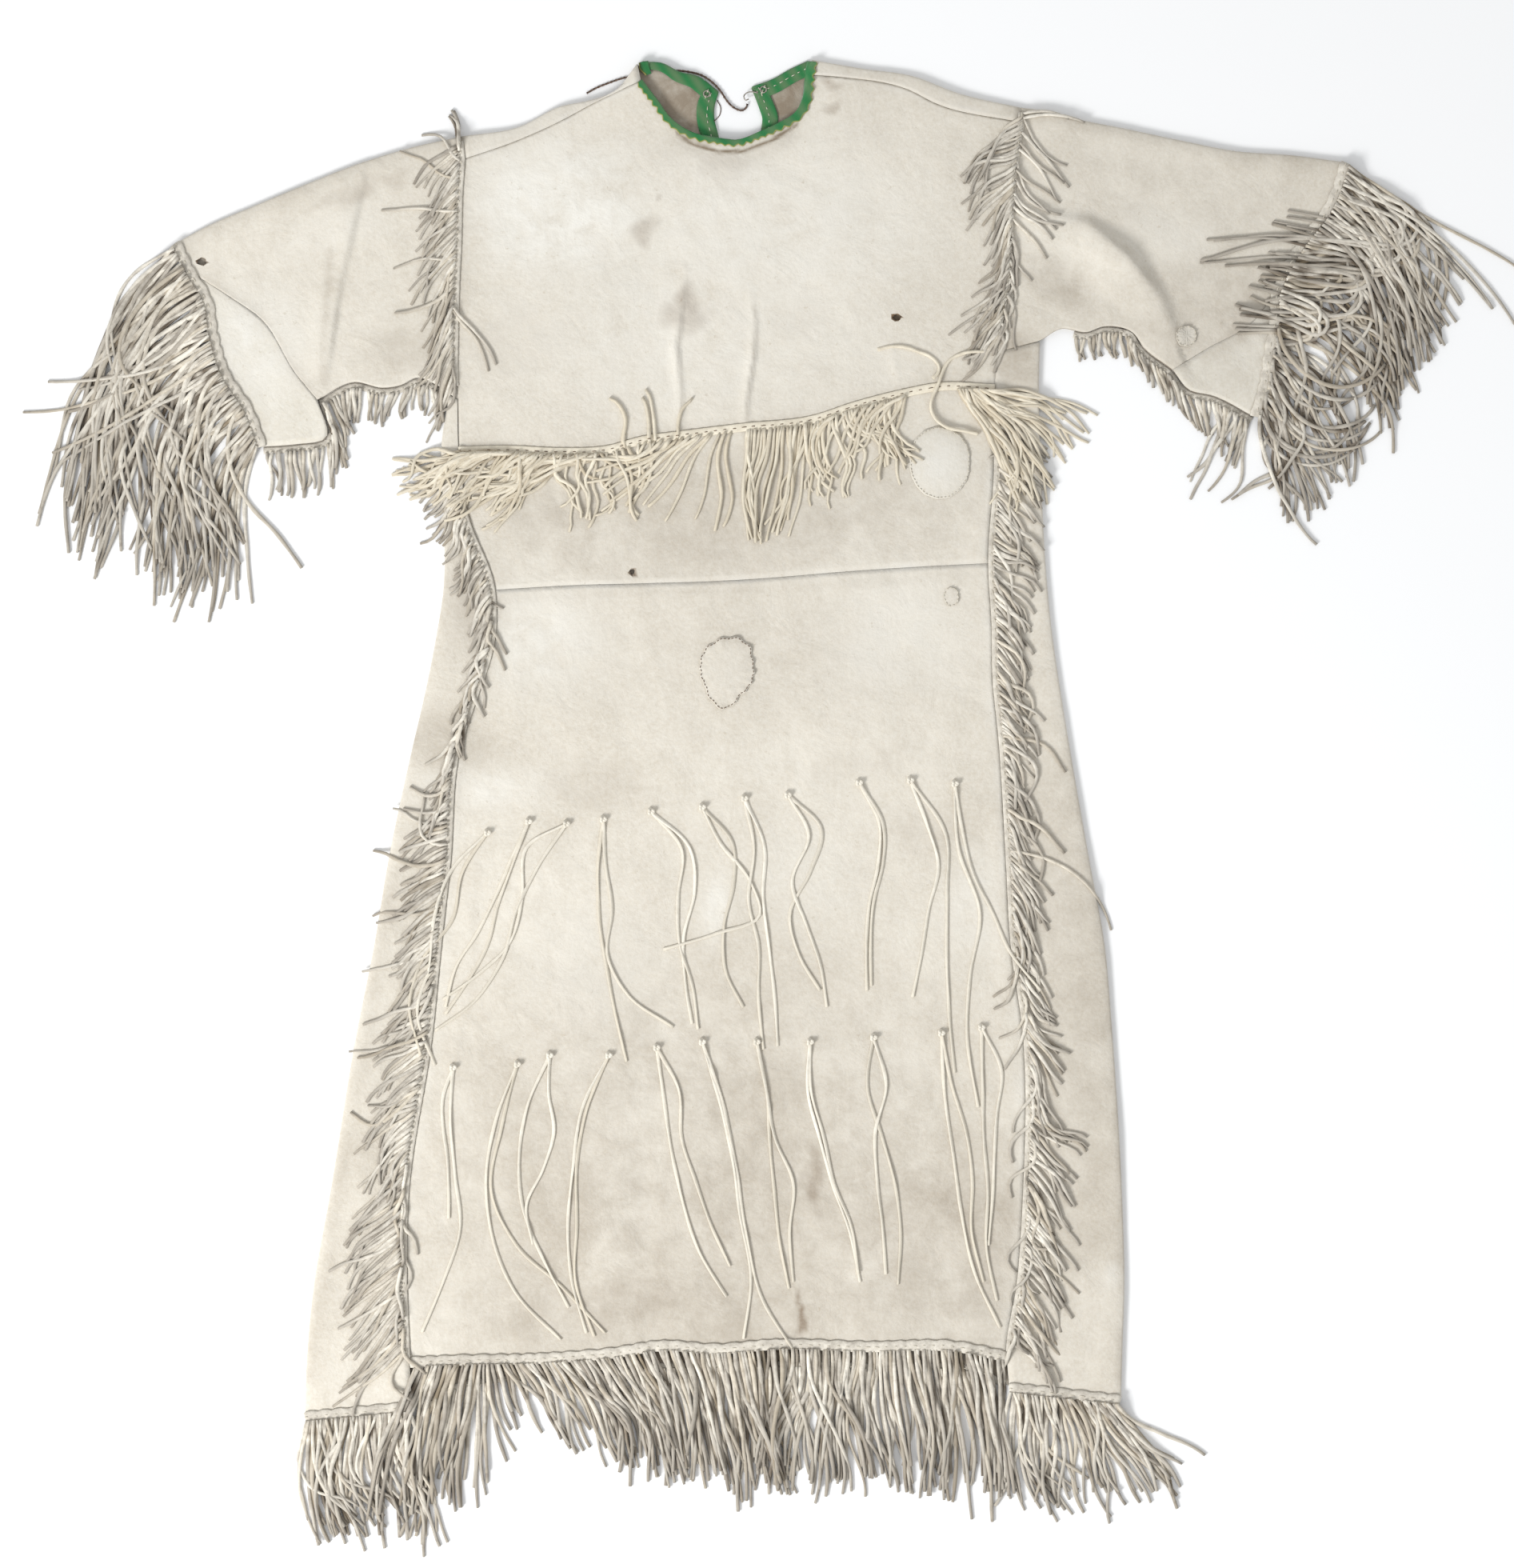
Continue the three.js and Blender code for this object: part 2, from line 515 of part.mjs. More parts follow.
// Two layers that share their top edge, joined there by a rounded fold that reaches the edge line.
function folded(backGrid, frontGrid) {
  const arcs = [];
  const back = backGrid.map((row) => [...row]);
  const front = frontGrid.map((row) => [...row]);
  backGrid[0].forEach((edge, i) => {
    const inner = moveTowards(edge, mix(back[1][i], front[1][i], 0.5), FOLD_REACH);
    back[0][i] = inner;
    front[0][i] = inner;
  });
  const backRaised = raised(back, backHeight);
  const frontRaised = raised(front, frontHeight);
  for (let k = 1; k < FOLD_STEPS; k += 1) {
    const angle = Math.PI * (k / FOLD_STEPS - 0.5);
    arcs.push(backGrid[0].map((edge, i) => {
      const low = backRaised[0][i][2];
      const high = frontRaised[0][i][2];
      const [x, y] = mix(back[0][i], edge, Math.cos(angle));
      return [x, y, (low + high) / 2 + ((high - low) / 2) * Math.sin(angle)];
    }));
  }
  return [...backRaised.reverse(), ...arcs, ...frontRaised];
}

// Solids
function solidFrom(points, faces) {
  const geometry = new THREE.BufferGeometry();
  geometry.setAttribute("position", new THREE.Float32BufferAttribute(points.flat(), 3));
  geometry.setIndex(faces.flat());
  return toSolid(geometry);
}

function toSolid(geometry) {
  geometry.deleteAttribute("normal");
  geometry.deleteAttribute("uv");
  const merged = mergeVertices(geometry, 1e-4);
  return new wasm.Manifold(new wasm.Mesh({
    numProp: 3,
    vertProperties: merged.attributes.position.array,
    triVerts: new Uint32Array(merged.index.array),
  }));
}

// A wall of even thickness on both sides of one or more grids, which join where their points meet.
// Each grid runs so that its outer side is seen with the rows going down and the columns right.
function wall(grids, thickness) {
  const points = [];
  const known = new Map();
  const number = (point) => {
    const key = point.map((value) => Math.round(value * 200)).join(" ");
    if (!known.has(key)) known.set(key, points.push(point) - 1);
    return known.get(key);
  };
  const faces = [];
  for (const grid of grids) {
    const ids = grid.map((row) => row.map(number));
    for (let j = 1; j < ids.length; j += 1) {
      for (let i = 1; i < ids[j].length; i += 1) {
        const quad = [ids[j - 1][i - 1], ids[j][i - 1], ids[j][i], ids[j - 1][i]];
        const cuts = (i + j) % 2 ? [[0, 1, 2], [0, 2, 3]] : [[0, 1, 3], [1, 2, 3]];
        for (const cut of cuts) {
          const face = cut.map((k) => quad[k]);
          if (new Set(face).size === 3) faces.push(face);
        }
      }
    }
  }
  return thicken(points, faces, thickness);
}

function thicken(points, faces, thickness) {
  const corner = (id) => new THREE.Vector3(...points[id]);
  const normals = points.map(() => new THREE.Vector3());
  const borders = new Map();
  for (const face of faces) {
    const [a, b, c] = face.map(corner);
    const normal = b.sub(a).cross(c.sub(a));
    face.forEach((id, k) => {
      normals[id].add(normal);
      const next = face[(k + 1) % 3];
      if (!borders.delete(`${next} ${id}`)) borders.set(`${id} ${next}`, [id, next]);
    });
  }
  const count = points.length;
  const side = (sign) => points.map((point, id) => {
    const step = normals[id].clone().normalize().multiplyScalar((sign * thickness) / 2);
    return [point[0] + step.x, point[1] + step.y, point[2] + step.z];
  });
  const all = [...faces, ...faces.map(([a, b, c]) => [a + count, c + count, b + count])];
  for (const [a, b] of borders.values()) all.push([b, a, a + count], [b, a + count, b + count]);
  return solidFrom([...side(1), ...side(-1)], all);
}

// What already lies on the surface, as a map of heights that later pieces are laid on.
const ground = {
  cell: 2,
  west: -680,
  south: -720,
  columns: 720,
  rows: 720,
};
ground.height = new Float32Array(ground.columns * ground.rows);

function eachCell(west, south, east, north, visit) {
  const clampTo = (value, most) => Math.min(Math.max(Math.floor(value), 0), most - 1);
  const first = clampTo((west - ground.west) / ground.cell, ground.columns);
  const last = clampTo((east - ground.west) / ground.cell, ground.columns);
  const low = clampTo((south - ground.south) / ground.cell, ground.rows);
  const high = clampTo((north - ground.south) / ground.cell, ground.rows);
  for (let j = low; j <= high; j += 1) {
    for (let i = first; i <= last; i += 1) {
      const x = ground.west + (i + 0.5) * ground.cell;
      const y = ground.south + (j + 0.5) * ground.cell;
      visit(j * ground.columns + i, x, y);
    }
  }
}

// Marks a laid solid on the map, a little wider than it is.
function mark(solid) {
  const mesh = solid.getMesh();
  const point = (id) => mesh.vertProperties.subarray(id * mesh.numProp, id * mesh.numProp + 3);
  for (let f = 0; f < mesh.triVerts.length; f += 3) {
    const [a, b, c] = [0, 1, 2].map((k) => point(mesh.triVerts[f + k]));
    const area = (b[0] - a[0]) * (c[1] - a[1]) - (b[1] - a[1]) * (c[0] - a[0]);
    if (area <= 1e-6) continue;
    const west = Math.min(a[0], b[0], c[0]) - ground.cell;
    const east = Math.max(a[0], b[0], c[0]) + ground.cell;
    const south = Math.min(a[1], b[1], c[1]) - ground.cell;
    const north = Math.max(a[1], b[1], c[1]) + ground.cell;
    const top = Math.max(a[2], b[2], c[2]);
    const spread = (ground.cell * Math.SQRT1_2 * (distance(a, b) + distance(b, c) + distance(c, a))) / area;
    eachCell(west, south, east, north, (id, x, y) => {
      const wb = ((x - a[0]) * (c[1] - a[1]) - (y - a[1]) * (c[0] - a[0])) / area;
      const wc = ((b[0] - a[0]) * (y - a[1]) - (b[1] - a[1]) * (x - a[0])) / area;
      const wa = 1 - wb - wc;
      if (Math.min(wa, wb, wc) < -Math.min(spread, 1)) return;
      const z = Math.min(wa * a[2] + wb * b[2] + wc * c[2], top);
      ground.height[id] = Math.max(ground.height[id], z);
    });
  }
}

function highest(from, to, radius) {
  let top = 0;
  const reach = radius + ground.cell * 0.75;
  eachCell(
    Math.min(from[0], to[0]) - reach,
    Math.min(from[1], to[1]) - reach,
    Math.max(from[0], to[0]) + reach,
    Math.max(from[1], to[1]) + reach,
    (id, x, y) => {
      if (distanceToPath([from, to], x, y) <= reach) top = Math.max(top, ground.height[id]);
    },
  );
  return top;
}

// Heights that carry a ribbon of this half width over everything on its way.
function restingHeights(plan, halfWidth) {
  const tops = plan.slice(1).map((point, k) => highest(plan[k], point, halfWidth));
  return plan.map((_, k) => Math.max(tops[Math.max(k - 1, 0)], tops[Math.min(k, tops.length - 1)]));
}

// A ribbon of a flat section swept along a path whose points hold x, y and z of its middle.
// Three-sided sections are a ridge, four-sided ones a flat bar. A root can be made smaller than the
// rest, so that it ends inside the strip that it is fused to.
function ribbon(path, widths, thickness, sides, rootScale = 1) {
  const points = [];
  const across = path.map((_, k) => {
    const before = path[Math.max(k - 1, 0)];
    const after = path[Math.min(k + 1, path.length - 1)];
    const length = Math.hypot(after[0] - before[0], after[1] - before[1]);
    return [-(after[1] - before[1]) / length, (after[0] - before[0]) / length];
  });
  path.forEach(([x, y, z], k) => {
    const scale = k ? 1 : rootScale;
    const half = (widths(k / (path.length - 1)) / 2) * scale;
    const [sx, sy] = across[k].map((value) => value * half);
    const low = z - (thickness / 2) * scale;
    const high = z + (thickness / 2) * scale;
    points.push([x + sx, y + sy, low], [x - sx, y - sy, low]);
    if (sides === 3) points.push([x, y, high]);
    else points.push([x - sx, y - sy, high], [x + sx, y + sy, high]);
  });
  const faces = [];
  for (let k = 1; k < path.length; k += 1) {
    for (let s = 0; s < sides; s += 1) {
      const a = (k - 1) * sides + s;
      const b = (k - 1) * sides + ((s + 1) % sides);
      faces.push([a, b + sides, b], [a, a + sides, b + sides]);
    }
  }
  const end = (path.length - 1) * sides;
  for (let s = 2; s < sides; s += 1) {
    faces.push([0, s - 1, s]);
    faces.push([end, end + s, end + s - 1]);
  }
  return solidFrom(points, faces);
}

// A repeatable scatter between -1 and 1 for strand number k of a piece.
function scatter(k, salt) {
  const value = Math.sin(k * 12.9898 + salt * 78.233) * 43758.5453;
  return 2 * (value - Math.floor(value)) - 1;
}

// The row of a guide table at a place between 0 and 1 along a strip.
function guideAt(guides, at) {
  let k = 1;
  while (k < guides.length - 1 && guides[k].at < at) k += 1;
  const [low, high] = [guides[k - 1], guides[k]];
  const t = Math.min(Math.max((at - low.at) / (high.at - low.at), 0), 1);
  const between = (name) => lerp(low[name], high[name], t);
  return { heading: between("heading"), falls: between("falls"), length: between("length") };
}

// The plan of a strand that leaves its root at one heading and bends round to another.
function strandPlan(root, guide, segments, lead) {
  const toVector = (degrees) => [Math.cos((degrees * Math.PI) / 180), Math.sin((degrees * Math.PI) / 180)];
  const plan = [root];
  const first = toVector(guide.heading);
  plan.push([root[0] + first[0] * lead, root[1] + first[1] * lead]);
  const step = (guide.length - lead) / segments;
  for (let s = 0; s < segments; s += 1) {
    const turned = 1 - (1 - Math.min((s + 0.6) / segments, 1)) ** guide.curl;
    const heading = lerp(guide.heading, guide.falls, turned);
    const [dx, dy] = toVector(heading);
    const [x, y] = plan[plan.length - 1];
    plan.push([x + dx * step, y + dy * step]);
  }
  return plan;
}

// A fringe: a narrow strip with its strands fused to it. It lies on the seam that it is sewn in,
// or beside an edge when it is given a height of its own.
function fringe({ strip, bottom, rows, segments, width }) {
  const half = STRIP.width / 2;
  const base = bottom === undefined
    ? restingHeights(strip, half).map((z) => z + REST_ROOM)
    : strip.map(() => bottom);
  const path = strip.map(([x, y], k) => [x, y, base[k] + STRIP.thickness / 2]);
  const along = [0];
  for (let i = 1; i < path.length; i += 1) along.push(along[i - 1] + distance(path[i - 1], path[i]));
  const total = along[along.length - 1];
  let solid = ribbon(path, () => STRIP.width, STRIP.thickness, 4);
  for (const row of rows) {
    for (let k = 0; k < row.count; k += 1) {
      const spread = row.count > 1 ? k / (row.count - 1) : 0.5;
      const at = lerp(row.from, row.to, spread);
      const root = pointAt(path, along, total * at);
      const guide = { ...guideAt(row.guides, at), curl: row.curl };
      guide.heading += scatter(k, row.salt) * row.stray;
      guide.falls += scatter(k, row.salt + 1) * row.stray * STRAND_SCATTER.falls;
      guide.length *= 1 + STRAND_SCATTER.length * scatter(k, row.salt + 2);
      const plan = strandPlan(root.slice(0, 2), guide, row.segments ?? segments, half + STRAND.lead);
      const floor = restingHeights(plan.slice(1), width / 2);
      const middle = [root[2], ...floor.map((z) => z + REST_ROOM + STRAND.thickness / 2)];
      const strand = ribbon(
        plan.map(([x, y], n) => [x, y, middle[n]]),
        (t) => width * (1 - STRAND.taper * t),
        STRAND.thickness,
        3,
        STRAND.rootScale,
      );
      mark(strand);
      solid = solid.add(strand);
    }
  }
  mark(solid);
  return solid;
}

// A round cord through its route's points.
function cord(route, diameter, stepsAlong) {
  const curve = new THREE.CatmullRomCurve3(route.map((point) => new THREE.Vector3(...point)));
  const circle = new THREE.Shape().absarc(0, 0, diameter / 2, 0, Math.PI * 2);
  return toSolid(new THREE.ExtrudeGeometry(circle, {
    steps: stepsAlong,
    curveSegments: CORD_SIDES / 2,
    bevelEnabled: false,
    extrudePath: curve,
  }));
}

// A hole worn through the front layer.
function holeCutter({ x, y, halfWidth, halfHeight }) {
  const shape = new THREE.Shape();
  shape.absellipse(0, 0, halfWidth, halfHeight, 0, Math.PI * 2);
  const geometry = new THREE.ExtrudeGeometry(shape, {
    depth: HOLE_CUT_DEPTH,
    curveSegments: HOLE_CORNERS / 2,
    bevelEnabled: false,
  });
  geometry.translate(x, y, BACK_Z + HIDE / 2);
  return toSolid(geometry);
}

// The group
const dress = new THREE.Group();

function place(name, solid, colour, roughness = 0.95, metalness = 0) {
  const mesh = solid.getMesh();
  const geometry = new THREE.BufferGeometry();
  const count = mesh.vertProperties.length / mesh.numProp;
  const positions = new Float32Array(count * 3);
  for (let i = 0; i < count; i += 1) {
    positions.set(mesh.vertProperties.subarray(i * mesh.numProp, i * mesh.numProp + 3), i * 3);
  }
  geometry.setAttribute("position", new THREE.BufferAttribute(positions, 3));
  geometry.setIndex(new THREE.BufferAttribute(new Uint32Array(mesh.triVerts), 1));
  geometry.computeVertexNormals();
  const material = new THREE.MeshStandardMaterial({ color: colour, roughness, metalness });
  const piece = new THREE.Mesh(geometry, material);
  piece.name = name;
  dress.add(piece);
}

function placeMarked(name, solid, colour) {
  mark(solid);
  place(name, solid, colour);
}

// Shared edges, cut once so that the pieces on both sides of a seam hold the same points
const COLUMNS = { shoulder: 3, neck: 8, neckBack: 4, skirt: 14, backSkirt: 6, sleeve: 10, gore: 2 };
const ARMHOLE_ROWS = 6;
const SLIT_ROWS = { open: 5, closed: 3 };
const armhole = {
  left: steps(ARMHOLE.left, ARMHOLE_ROWS),
  right: steps(ARMHOLE.right, ARMHOLE_ROWS),
};
const shoulderFold = {
  left: steps(SHOULDER_FOLD.left, COLUMNS.shoulder),
  right: steps(SHOULDER_FOLD.right, COLUMNS.shoulder),
};
const shoulderSeam = {
  left: steps(SHOULDER_SEAM.left, COLUMNS.shoulder),
  right: steps(SHOULDER_SEAM.right, COLUMNS.shoulder),
};
const goreSeam = {
  left: GORE_LEFT.map((row) => [row.seam, row.y]),
  right: GORE_RIGHT.map((row) => [row.seam, row.y]),
};
const goreHem = {
  left: [GORE_LEFT_HEM.seam, GORE_LEFT_HEM.y],
  right: [GORE_RIGHT_HEM.seam, GORE_RIGHT_HEM.y],
};

// The back: bodice with its shoulder strips folded over to the front, and skirt
function backBodice() {
  const waistLeft = steps([goreSeam.left[0], BACK_WAIST_MIDDLE], COLUMNS.shoulder + COLUMNS.neckBack);
  const waistRight = steps([BACK_WAIST_MIDDLE, goreSeam.right[0]], COLUMNS.shoulder + COLUMNS.neckBack);
  const below = steps([SLIT_END, BACK_WAIST_MIDDLE], SLIT_ROWS.closed);
  const left = seamed(panel(
    chain(shoulderFold.left, steps(NECK_BACK.left, COLUMNS.neckBack)),
    waistLeft,
    [shoulderFold.left[0], ...armhole.left, goreSeam.left[0]],
    chain(steps(SLIT.left, SLIT_ROWS.open), below),
  ), ["left", "bottom"]);
  const right = seamed(panel(
    chain(steps(NECK_BACK.right, COLUMNS.neckBack), shoulderFold.right),
    waistRight,
    chain(steps(SLIT.right, SLIT_ROWS.open), below),
    [shoulderFold.right[COLUMNS.shoulder], ...armhole.right, goreSeam.right[0]],
  ), ["right", "bottom"]);
  const grids = [];
  const overShoulder = (grid, first, seam, outer) => {
    const strip = seamed(
      [grid[0], seam].map((row, k) => (k ? row : row.slice(first, first + COLUMNS.shoulder + 1))),
      [outer, "bottom"],
    );
    strip[0] = grid[0].slice(first, first + COLUMNS.shoulder + 1);
    const under = grid.slice(0, 2).map((row) => row.slice(first, first + COLUMNS.shoulder + 1));
    const sheet = folded(under, strip);
    sheet[1].forEach(([x, y], i) => {
      grid[0][first + i] = [x, y];
    });
    return sheet.slice(1);
  };
  const stripLeft = overShoulder(left, 0, shoulderSeam.left, "left");
  const stripRight = overShoulder(right, COLUMNS.neckBack, shoulderSeam.right, "right");
  const underside = (grid) => raised(grid, backHeight).reverse();
  grids.push(underside(left), underside(right), stripLeft, stripRight);
  return wall(grids, HIDE);
}

function backSkirt() {
  const top = steps([goreSeam.left[0], BACK_WAIST_MIDDLE, goreSeam.right[0]], COLUMNS.backSkirt);
  const grid = panel(
    top,
    steps(HEM_BACK, COLUMNS.backSkirt),
    [...goreSeam.left, goreHem.left],
    [...goreSeam.right, goreHem.right],
  );
  return wall([raised(seamed(grid, ["left", "right", "top"]), backHeight).reverse()], HIDE);
}

// The front
function frontBodice() {
  const grid = panel(
    chain(shoulderSeam.left, steps(NECK_FRONT, COLUMNS.neck), shoulderSeam.right),
    steps(WAIST, 2 * COLUMNS.shoulder + COLUMNS.neck),
    [...armhole.left, goreSeam.left[0]],
    [...armhole.right, goreSeam.right[0]],
  );
  const shaped = seamed(grid, ["left", "right", "bottom"]);
  const shoulders = [...Array(COLUMNS.shoulder).keys()];
  const end = shaped[0].length - 1;
  for (const i of shoulders) {
    shaped[0][i] = moveTowards(shaped[0][i], shaped[1][i], SEAM_ROOM);
    shaped[0][end - i] = moveTowards(shaped[0][end - i], shaped[1][end - i], SEAM_ROOM);
  }
  return wall([raised(shaped, frontHeight)], HIDE);
}

function skirtPanel(top, bottom, firstRow, lastRow, borders) {
  const grid = panel(
    steps(top, COLUMNS.skirt),
    steps(bottom, COLUMNS.skirt),
    goreSeam.left.slice(firstRow, lastRow + 1),
    goreSeam.right.slice(firstRow, lastRow + 1),
  );
  return wall([raised(seamed(grid, ["left", "right", ...borders]), frontHeight)], HIDE);
}

// A gore wraps round the side: its back half lies on the surface and its front half over it.
function gore(rows, topRow, hemRow) {
  const all = [topRow, ...rows, hemRow];
  const foldLine = all.map((row) => [row.fold, row.foldY ?? row.y]);
  const seamLine = all.map((row) => [row.seam, row.y]);
  const across = (a, b) => steps([a, b], COLUMNS.gore);
  const end = all.length - 1;
  const grid = panel(
    foldLine,
    seamLine,
    across(foldLine[0], seamLine[0]),
    across(foldLine[end], seamLine[end]),
  );
  return seamed(grid, ["bottom", "left"]);
}

// Sleeves: the back half is whole, the front half stops at the seam of the corner piece.
function sleeve(plan, armholeLine, foldEnd) {
  const armholeEdge = [foldEnd, ...armholeLine];
  const fold = steps(plan.fold, COLUMNS.sleeve);
  const aboveCuff = steps(plan.cuffAbove, plan.rowsAbove);
  const cuff = chain(aboveCuff, steps(plan.cuffBelow, ARMHOLE_ROWS + 1 - plan.rowsAbove));
  const under = chain(steps(plan.underarm, COLUMNS.sleeve - 3), plan.insertEdge);
  const frontEnd = chain(aboveCuff, steps(plan.insertSeam, ARMHOLE_ROWS + 1 - plan.rowsAbove));
  return {
    cuff,
    under,
    back: seamed(panel(fold, under, armholeEdge, cuff), ["left"]),
    front: seamed(
      panel(fold, steps(plan.underarm, COLUMNS.sleeve), armholeEdge, frontEnd),
      ["left", "right"],
    ),
  };
}

function cornerPiece(plan) {
  const columns = ARMHOLE_ROWS + 1 - plan.rowsAbove;
  const start = plan.insertEdge.map(() => plan.insertSeam[0]);
  const grid = panel(steps(plan.insertSeam, columns), steps(plan.cuffBelow, columns), start, plan.insertEdge);
  return seamed(grid, ["top"]);
}

// A line beside another, moved to its left by an offset.
function beside(line, offset) {
  return line.map((point, k) => {
    const before = line[Math.max(k - 1, 0)];
    const after = line[Math.min(k + 1, line.length - 1)];
    const length = distance(before, after);
    const move = typeof offset === "function" ? offset(k) : offset;
    return [
      point[0] - ((after[1] - before[1]) / length) * move,
      point[1] + ((after[0] - before[0]) / length) * move,
    ];
  });
}

// A line that stops short of both its ends.
function shortened(line, room) {
  const inner = line.slice(1, -1);
  const end = line.length - 1;
  return [moveTowards(line[0], line[1], room), ...inner, moveTowards(line[end], line[end - 1], room)];
}

// Binding of the front neckline, with a pinked outer edge
function bindingFront() {
  const { teeth } = BINDING_FRONT;
  const middle = beside(steps(NECK_FRONT, teeth), -BINDING_FRONT.width / 2 - SEAM_ROOM);
  const path = middle.map((point, k) => {
    const before = middle[Math.max(k - 1, 0)];
    const after = middle[Math.min(k + 1, teeth)];
    const low = highest(before, after, BINDING_FRONT.width / 2);
    return [...point, low + REST_ROOM + BAND / 2];
  });
  const width = (t) => BINDING_FRONT.width - (Math.round(t * teeth) % 2) * BINDING_FRONT.toothDepth;
  return ribbon(path, width, BAND, 4);
}

// Binding of one side of the back neckline, which runs on down its edge of the slit
function bindingBack(line, slitFirst) {
  const inside = (k) => (
    slitFirst === (k < BINDING_BACK.points) ? -BINDING_BACK.slitWidth : -BINDING_BACK.width
  );
  const height = (x, y) => highest([x, y], [x, y], BINDING_BACK.foot) + REST_ROOM + BAND / 2;
  return wall([raised([beside(line, -SEAM_ROOM), beside(line, inside)], height)], BAND);
}

function eyelet({ x, y, radius }) {
  const ring = new THREE.TorusGeometry(radius, WIRE / 2, EYELET_SIDES.wire, EYELET_SIDES.ring);
  ring.translate(x, y, highest([x, y], [x, y], radius) + REST_ROOM + WIRE / 2);
  return toSolid(ring);
}

// A patch that crowns a little over the panel that it is sewn to
function patch({ x, y, outline, crown }) {
  const rings = [PATCH_RING, 1];
  const points = [[0, 0], ...rings.flatMap((scale) => outline.map((point) => point.map((v) => v * scale)))];
  const lift = [crown, ...rings.flatMap((scale) => outline.map(() => crown * (1 - scale ** 3)))];
  const placed = points.map(([dx, dy], k) => {
    const here = [x + dx, y + dy];
    return [...here, highest(here, here, PATCH_FOOT) + REST_ROOM + BAND / 2 + lift[k]];
  });
  const faces = [];
  const count = outline.length;
  for (let k = 0; k < count; k += 1) {
    const next = (k + 1) % count;
    faces.push([0, 1 + k, 1 + next]);
    faces.push([1 + k, 1 + count + k, 1 + count + next], [1 + k, 1 + count + next, 1 + next]);
  }
  return thicken(placed, faces, BAND);
}

// A pair of thongs from one knot on the skirt
function thongPair({ knot, tails }) {
  const plans = tails.map(({ to, bows }) => {
    const length = distance(knot, to);
    const left = [-(to[1] - knot[1]) / length, (to[0] - knot[0]) / length];
    const inner = bows.map((bow, k) => {
      const [x, y] = mix(knot, to, (k + 1) / (bows.length + 1));
      return [x + left[0] * bow, y + left[1] * bow];
    });
    return [knot, ...inner, to];
  });
  const half = THONG.thickness / 2;
  const starts = plans.map((plan) => restingHeights(plan, THONG.width / 2)[0]);
  const start = Math.max(...starts, highest(knot, knot, THONG_KNOT.halfLength)) + REST_ROOM + half;
  const blob = new THREE.OctahedronGeometry(1);
  blob.scale(THONG_KNOT.halfLength, THONG_KNOT.halfWidth, THONG_KNOT.halfHeight);
  blob.translate(knot[0], knot[1], start + half);
  let solid = toSolid(blob);
  for (const plan of plans) {
    const low = restingHeights(plan, THONG.width / 2);
    const path = plan.map((point, k) => [...point, k ? low[k] + REST_ROOM + half : start]);
    const tail = ribbon(path, () => THONG.width, THONG.thickness, 3);
    mark(tail);
    solid = solid.add(tail);
  }
  mark(solid);
  return solid;
}

// The pieces, in the order in which they lie on each other
const mirrored = (grid) => grid.map((row) => [...row].reverse());
const lastRow = GORE_LEFT.length - 1;
const goreLeft = gore(GORE_LEFT, GORE_LEFT_TOP, GORE_LEFT_HEM);
const goreRight = gore(GORE_RIGHT, GORE_RIGHT_TOP, GORE_RIGHT_HEM);
const sleeveLeft = sleeve(SLEEVE_LEFT, armhole.left, shoulderFold.left[0]);
const sleeveRight = sleeve(SLEEVE_RIGHT, armhole.right, shoulderFold.right[COLUMNS.shoulder]);
placeMarked("back_bodice", backBodice(), COLOURS.shade);
placeMarked("back_skirt", backSkirt(), COLOURS.shade);

// Each back binding starts just inside the shoulder and ends a way down its edge of the slit.
const slitRun = {
  left: [...SLIT.left.slice(0, -1), [-8, BINDING_BACK.end]],
  right: [...SLIT.right.slice(0, -1), [24, BINDING_BACK.end]],
};
const neckLineLeft = chain(
  [[-74, 668], ...NECK_BACK.left.slice(1)],
  steps(slitRun.left, BINDING_BACK.points),
);
const neckLineRight = chain(
  steps(slitRun.right.reverse(), BINDING_BACK.points),
  [...NECK_BACK.right.slice(0, -1), [70, 670]],
);
placeMarked("neck_binding_back_left", bindingBack(neckLineLeft, false), COLOURS.binding);
placeMarked("neck_binding_back_right", bindingBack(neckLineRight, true), COLOURS.binding);

const panels = {
  front_bodice: frontBodice(),
  skirt_upper: skirtPanel(WAIST, SKIRT_SEAM, 0, SKIRT_SEAM_ROW, ["top", "bottom"]),
  skirt_lower: skirtPanel(SKIRT_SEAM, HEM_FRONT, SKIRT_SEAM_ROW, lastRow, ["top"]),
  gore_left: wall([mirrored(folded(goreLeft, goreLeft))], HIDE),
  gore_right: wall([folded(goreRight, goreRight)], HIDE),
  sleeve_left: wall([mirrored(folded(sleeveLeft.back, sleeveLeft.front))], HIDE),
  sleeve_right: wall([folded(sleeveRight.back, sleeveRight.front)], HIDE),
  sleeve_left_corner: wall([raised(cornerPiece(SLEEVE_LEFT), frontHeight)], HIDE),
  sleeve_right_corner: wall([mirrored(raised(cornerPiece(SLEEVE_RIGHT), frontHeight))], HIDE),
};
for (const hole of WORN_HOLES) {
  panels[hole.piece] = panels[hole.piece].subtract(holeCutter(hole));
}
for (const [name, solid] of Object.entries(panels)) {
  placeMarked(name, solid, name.endsWith("corner") ? COLOURS.cream : COLOURS.hide);
}

placeMarked("neck_binding_front", bindingFront(), COLOURS.binding);
for (const ring of EYELETS) placeMarked(ring.name, eyelet(ring), COLOURS.steel);
place("neck_hook", cord(HOOK, WIRE, HOOK_STEPS), COLOURS.steel);
place("neck_string", cord(NECK_STRING, STRING, NECK_STRING_STEPS), COLOURS.string);
for (const piece of PATCHES) placeMarked(piece.name, patch(piece), COLOURS.cream);

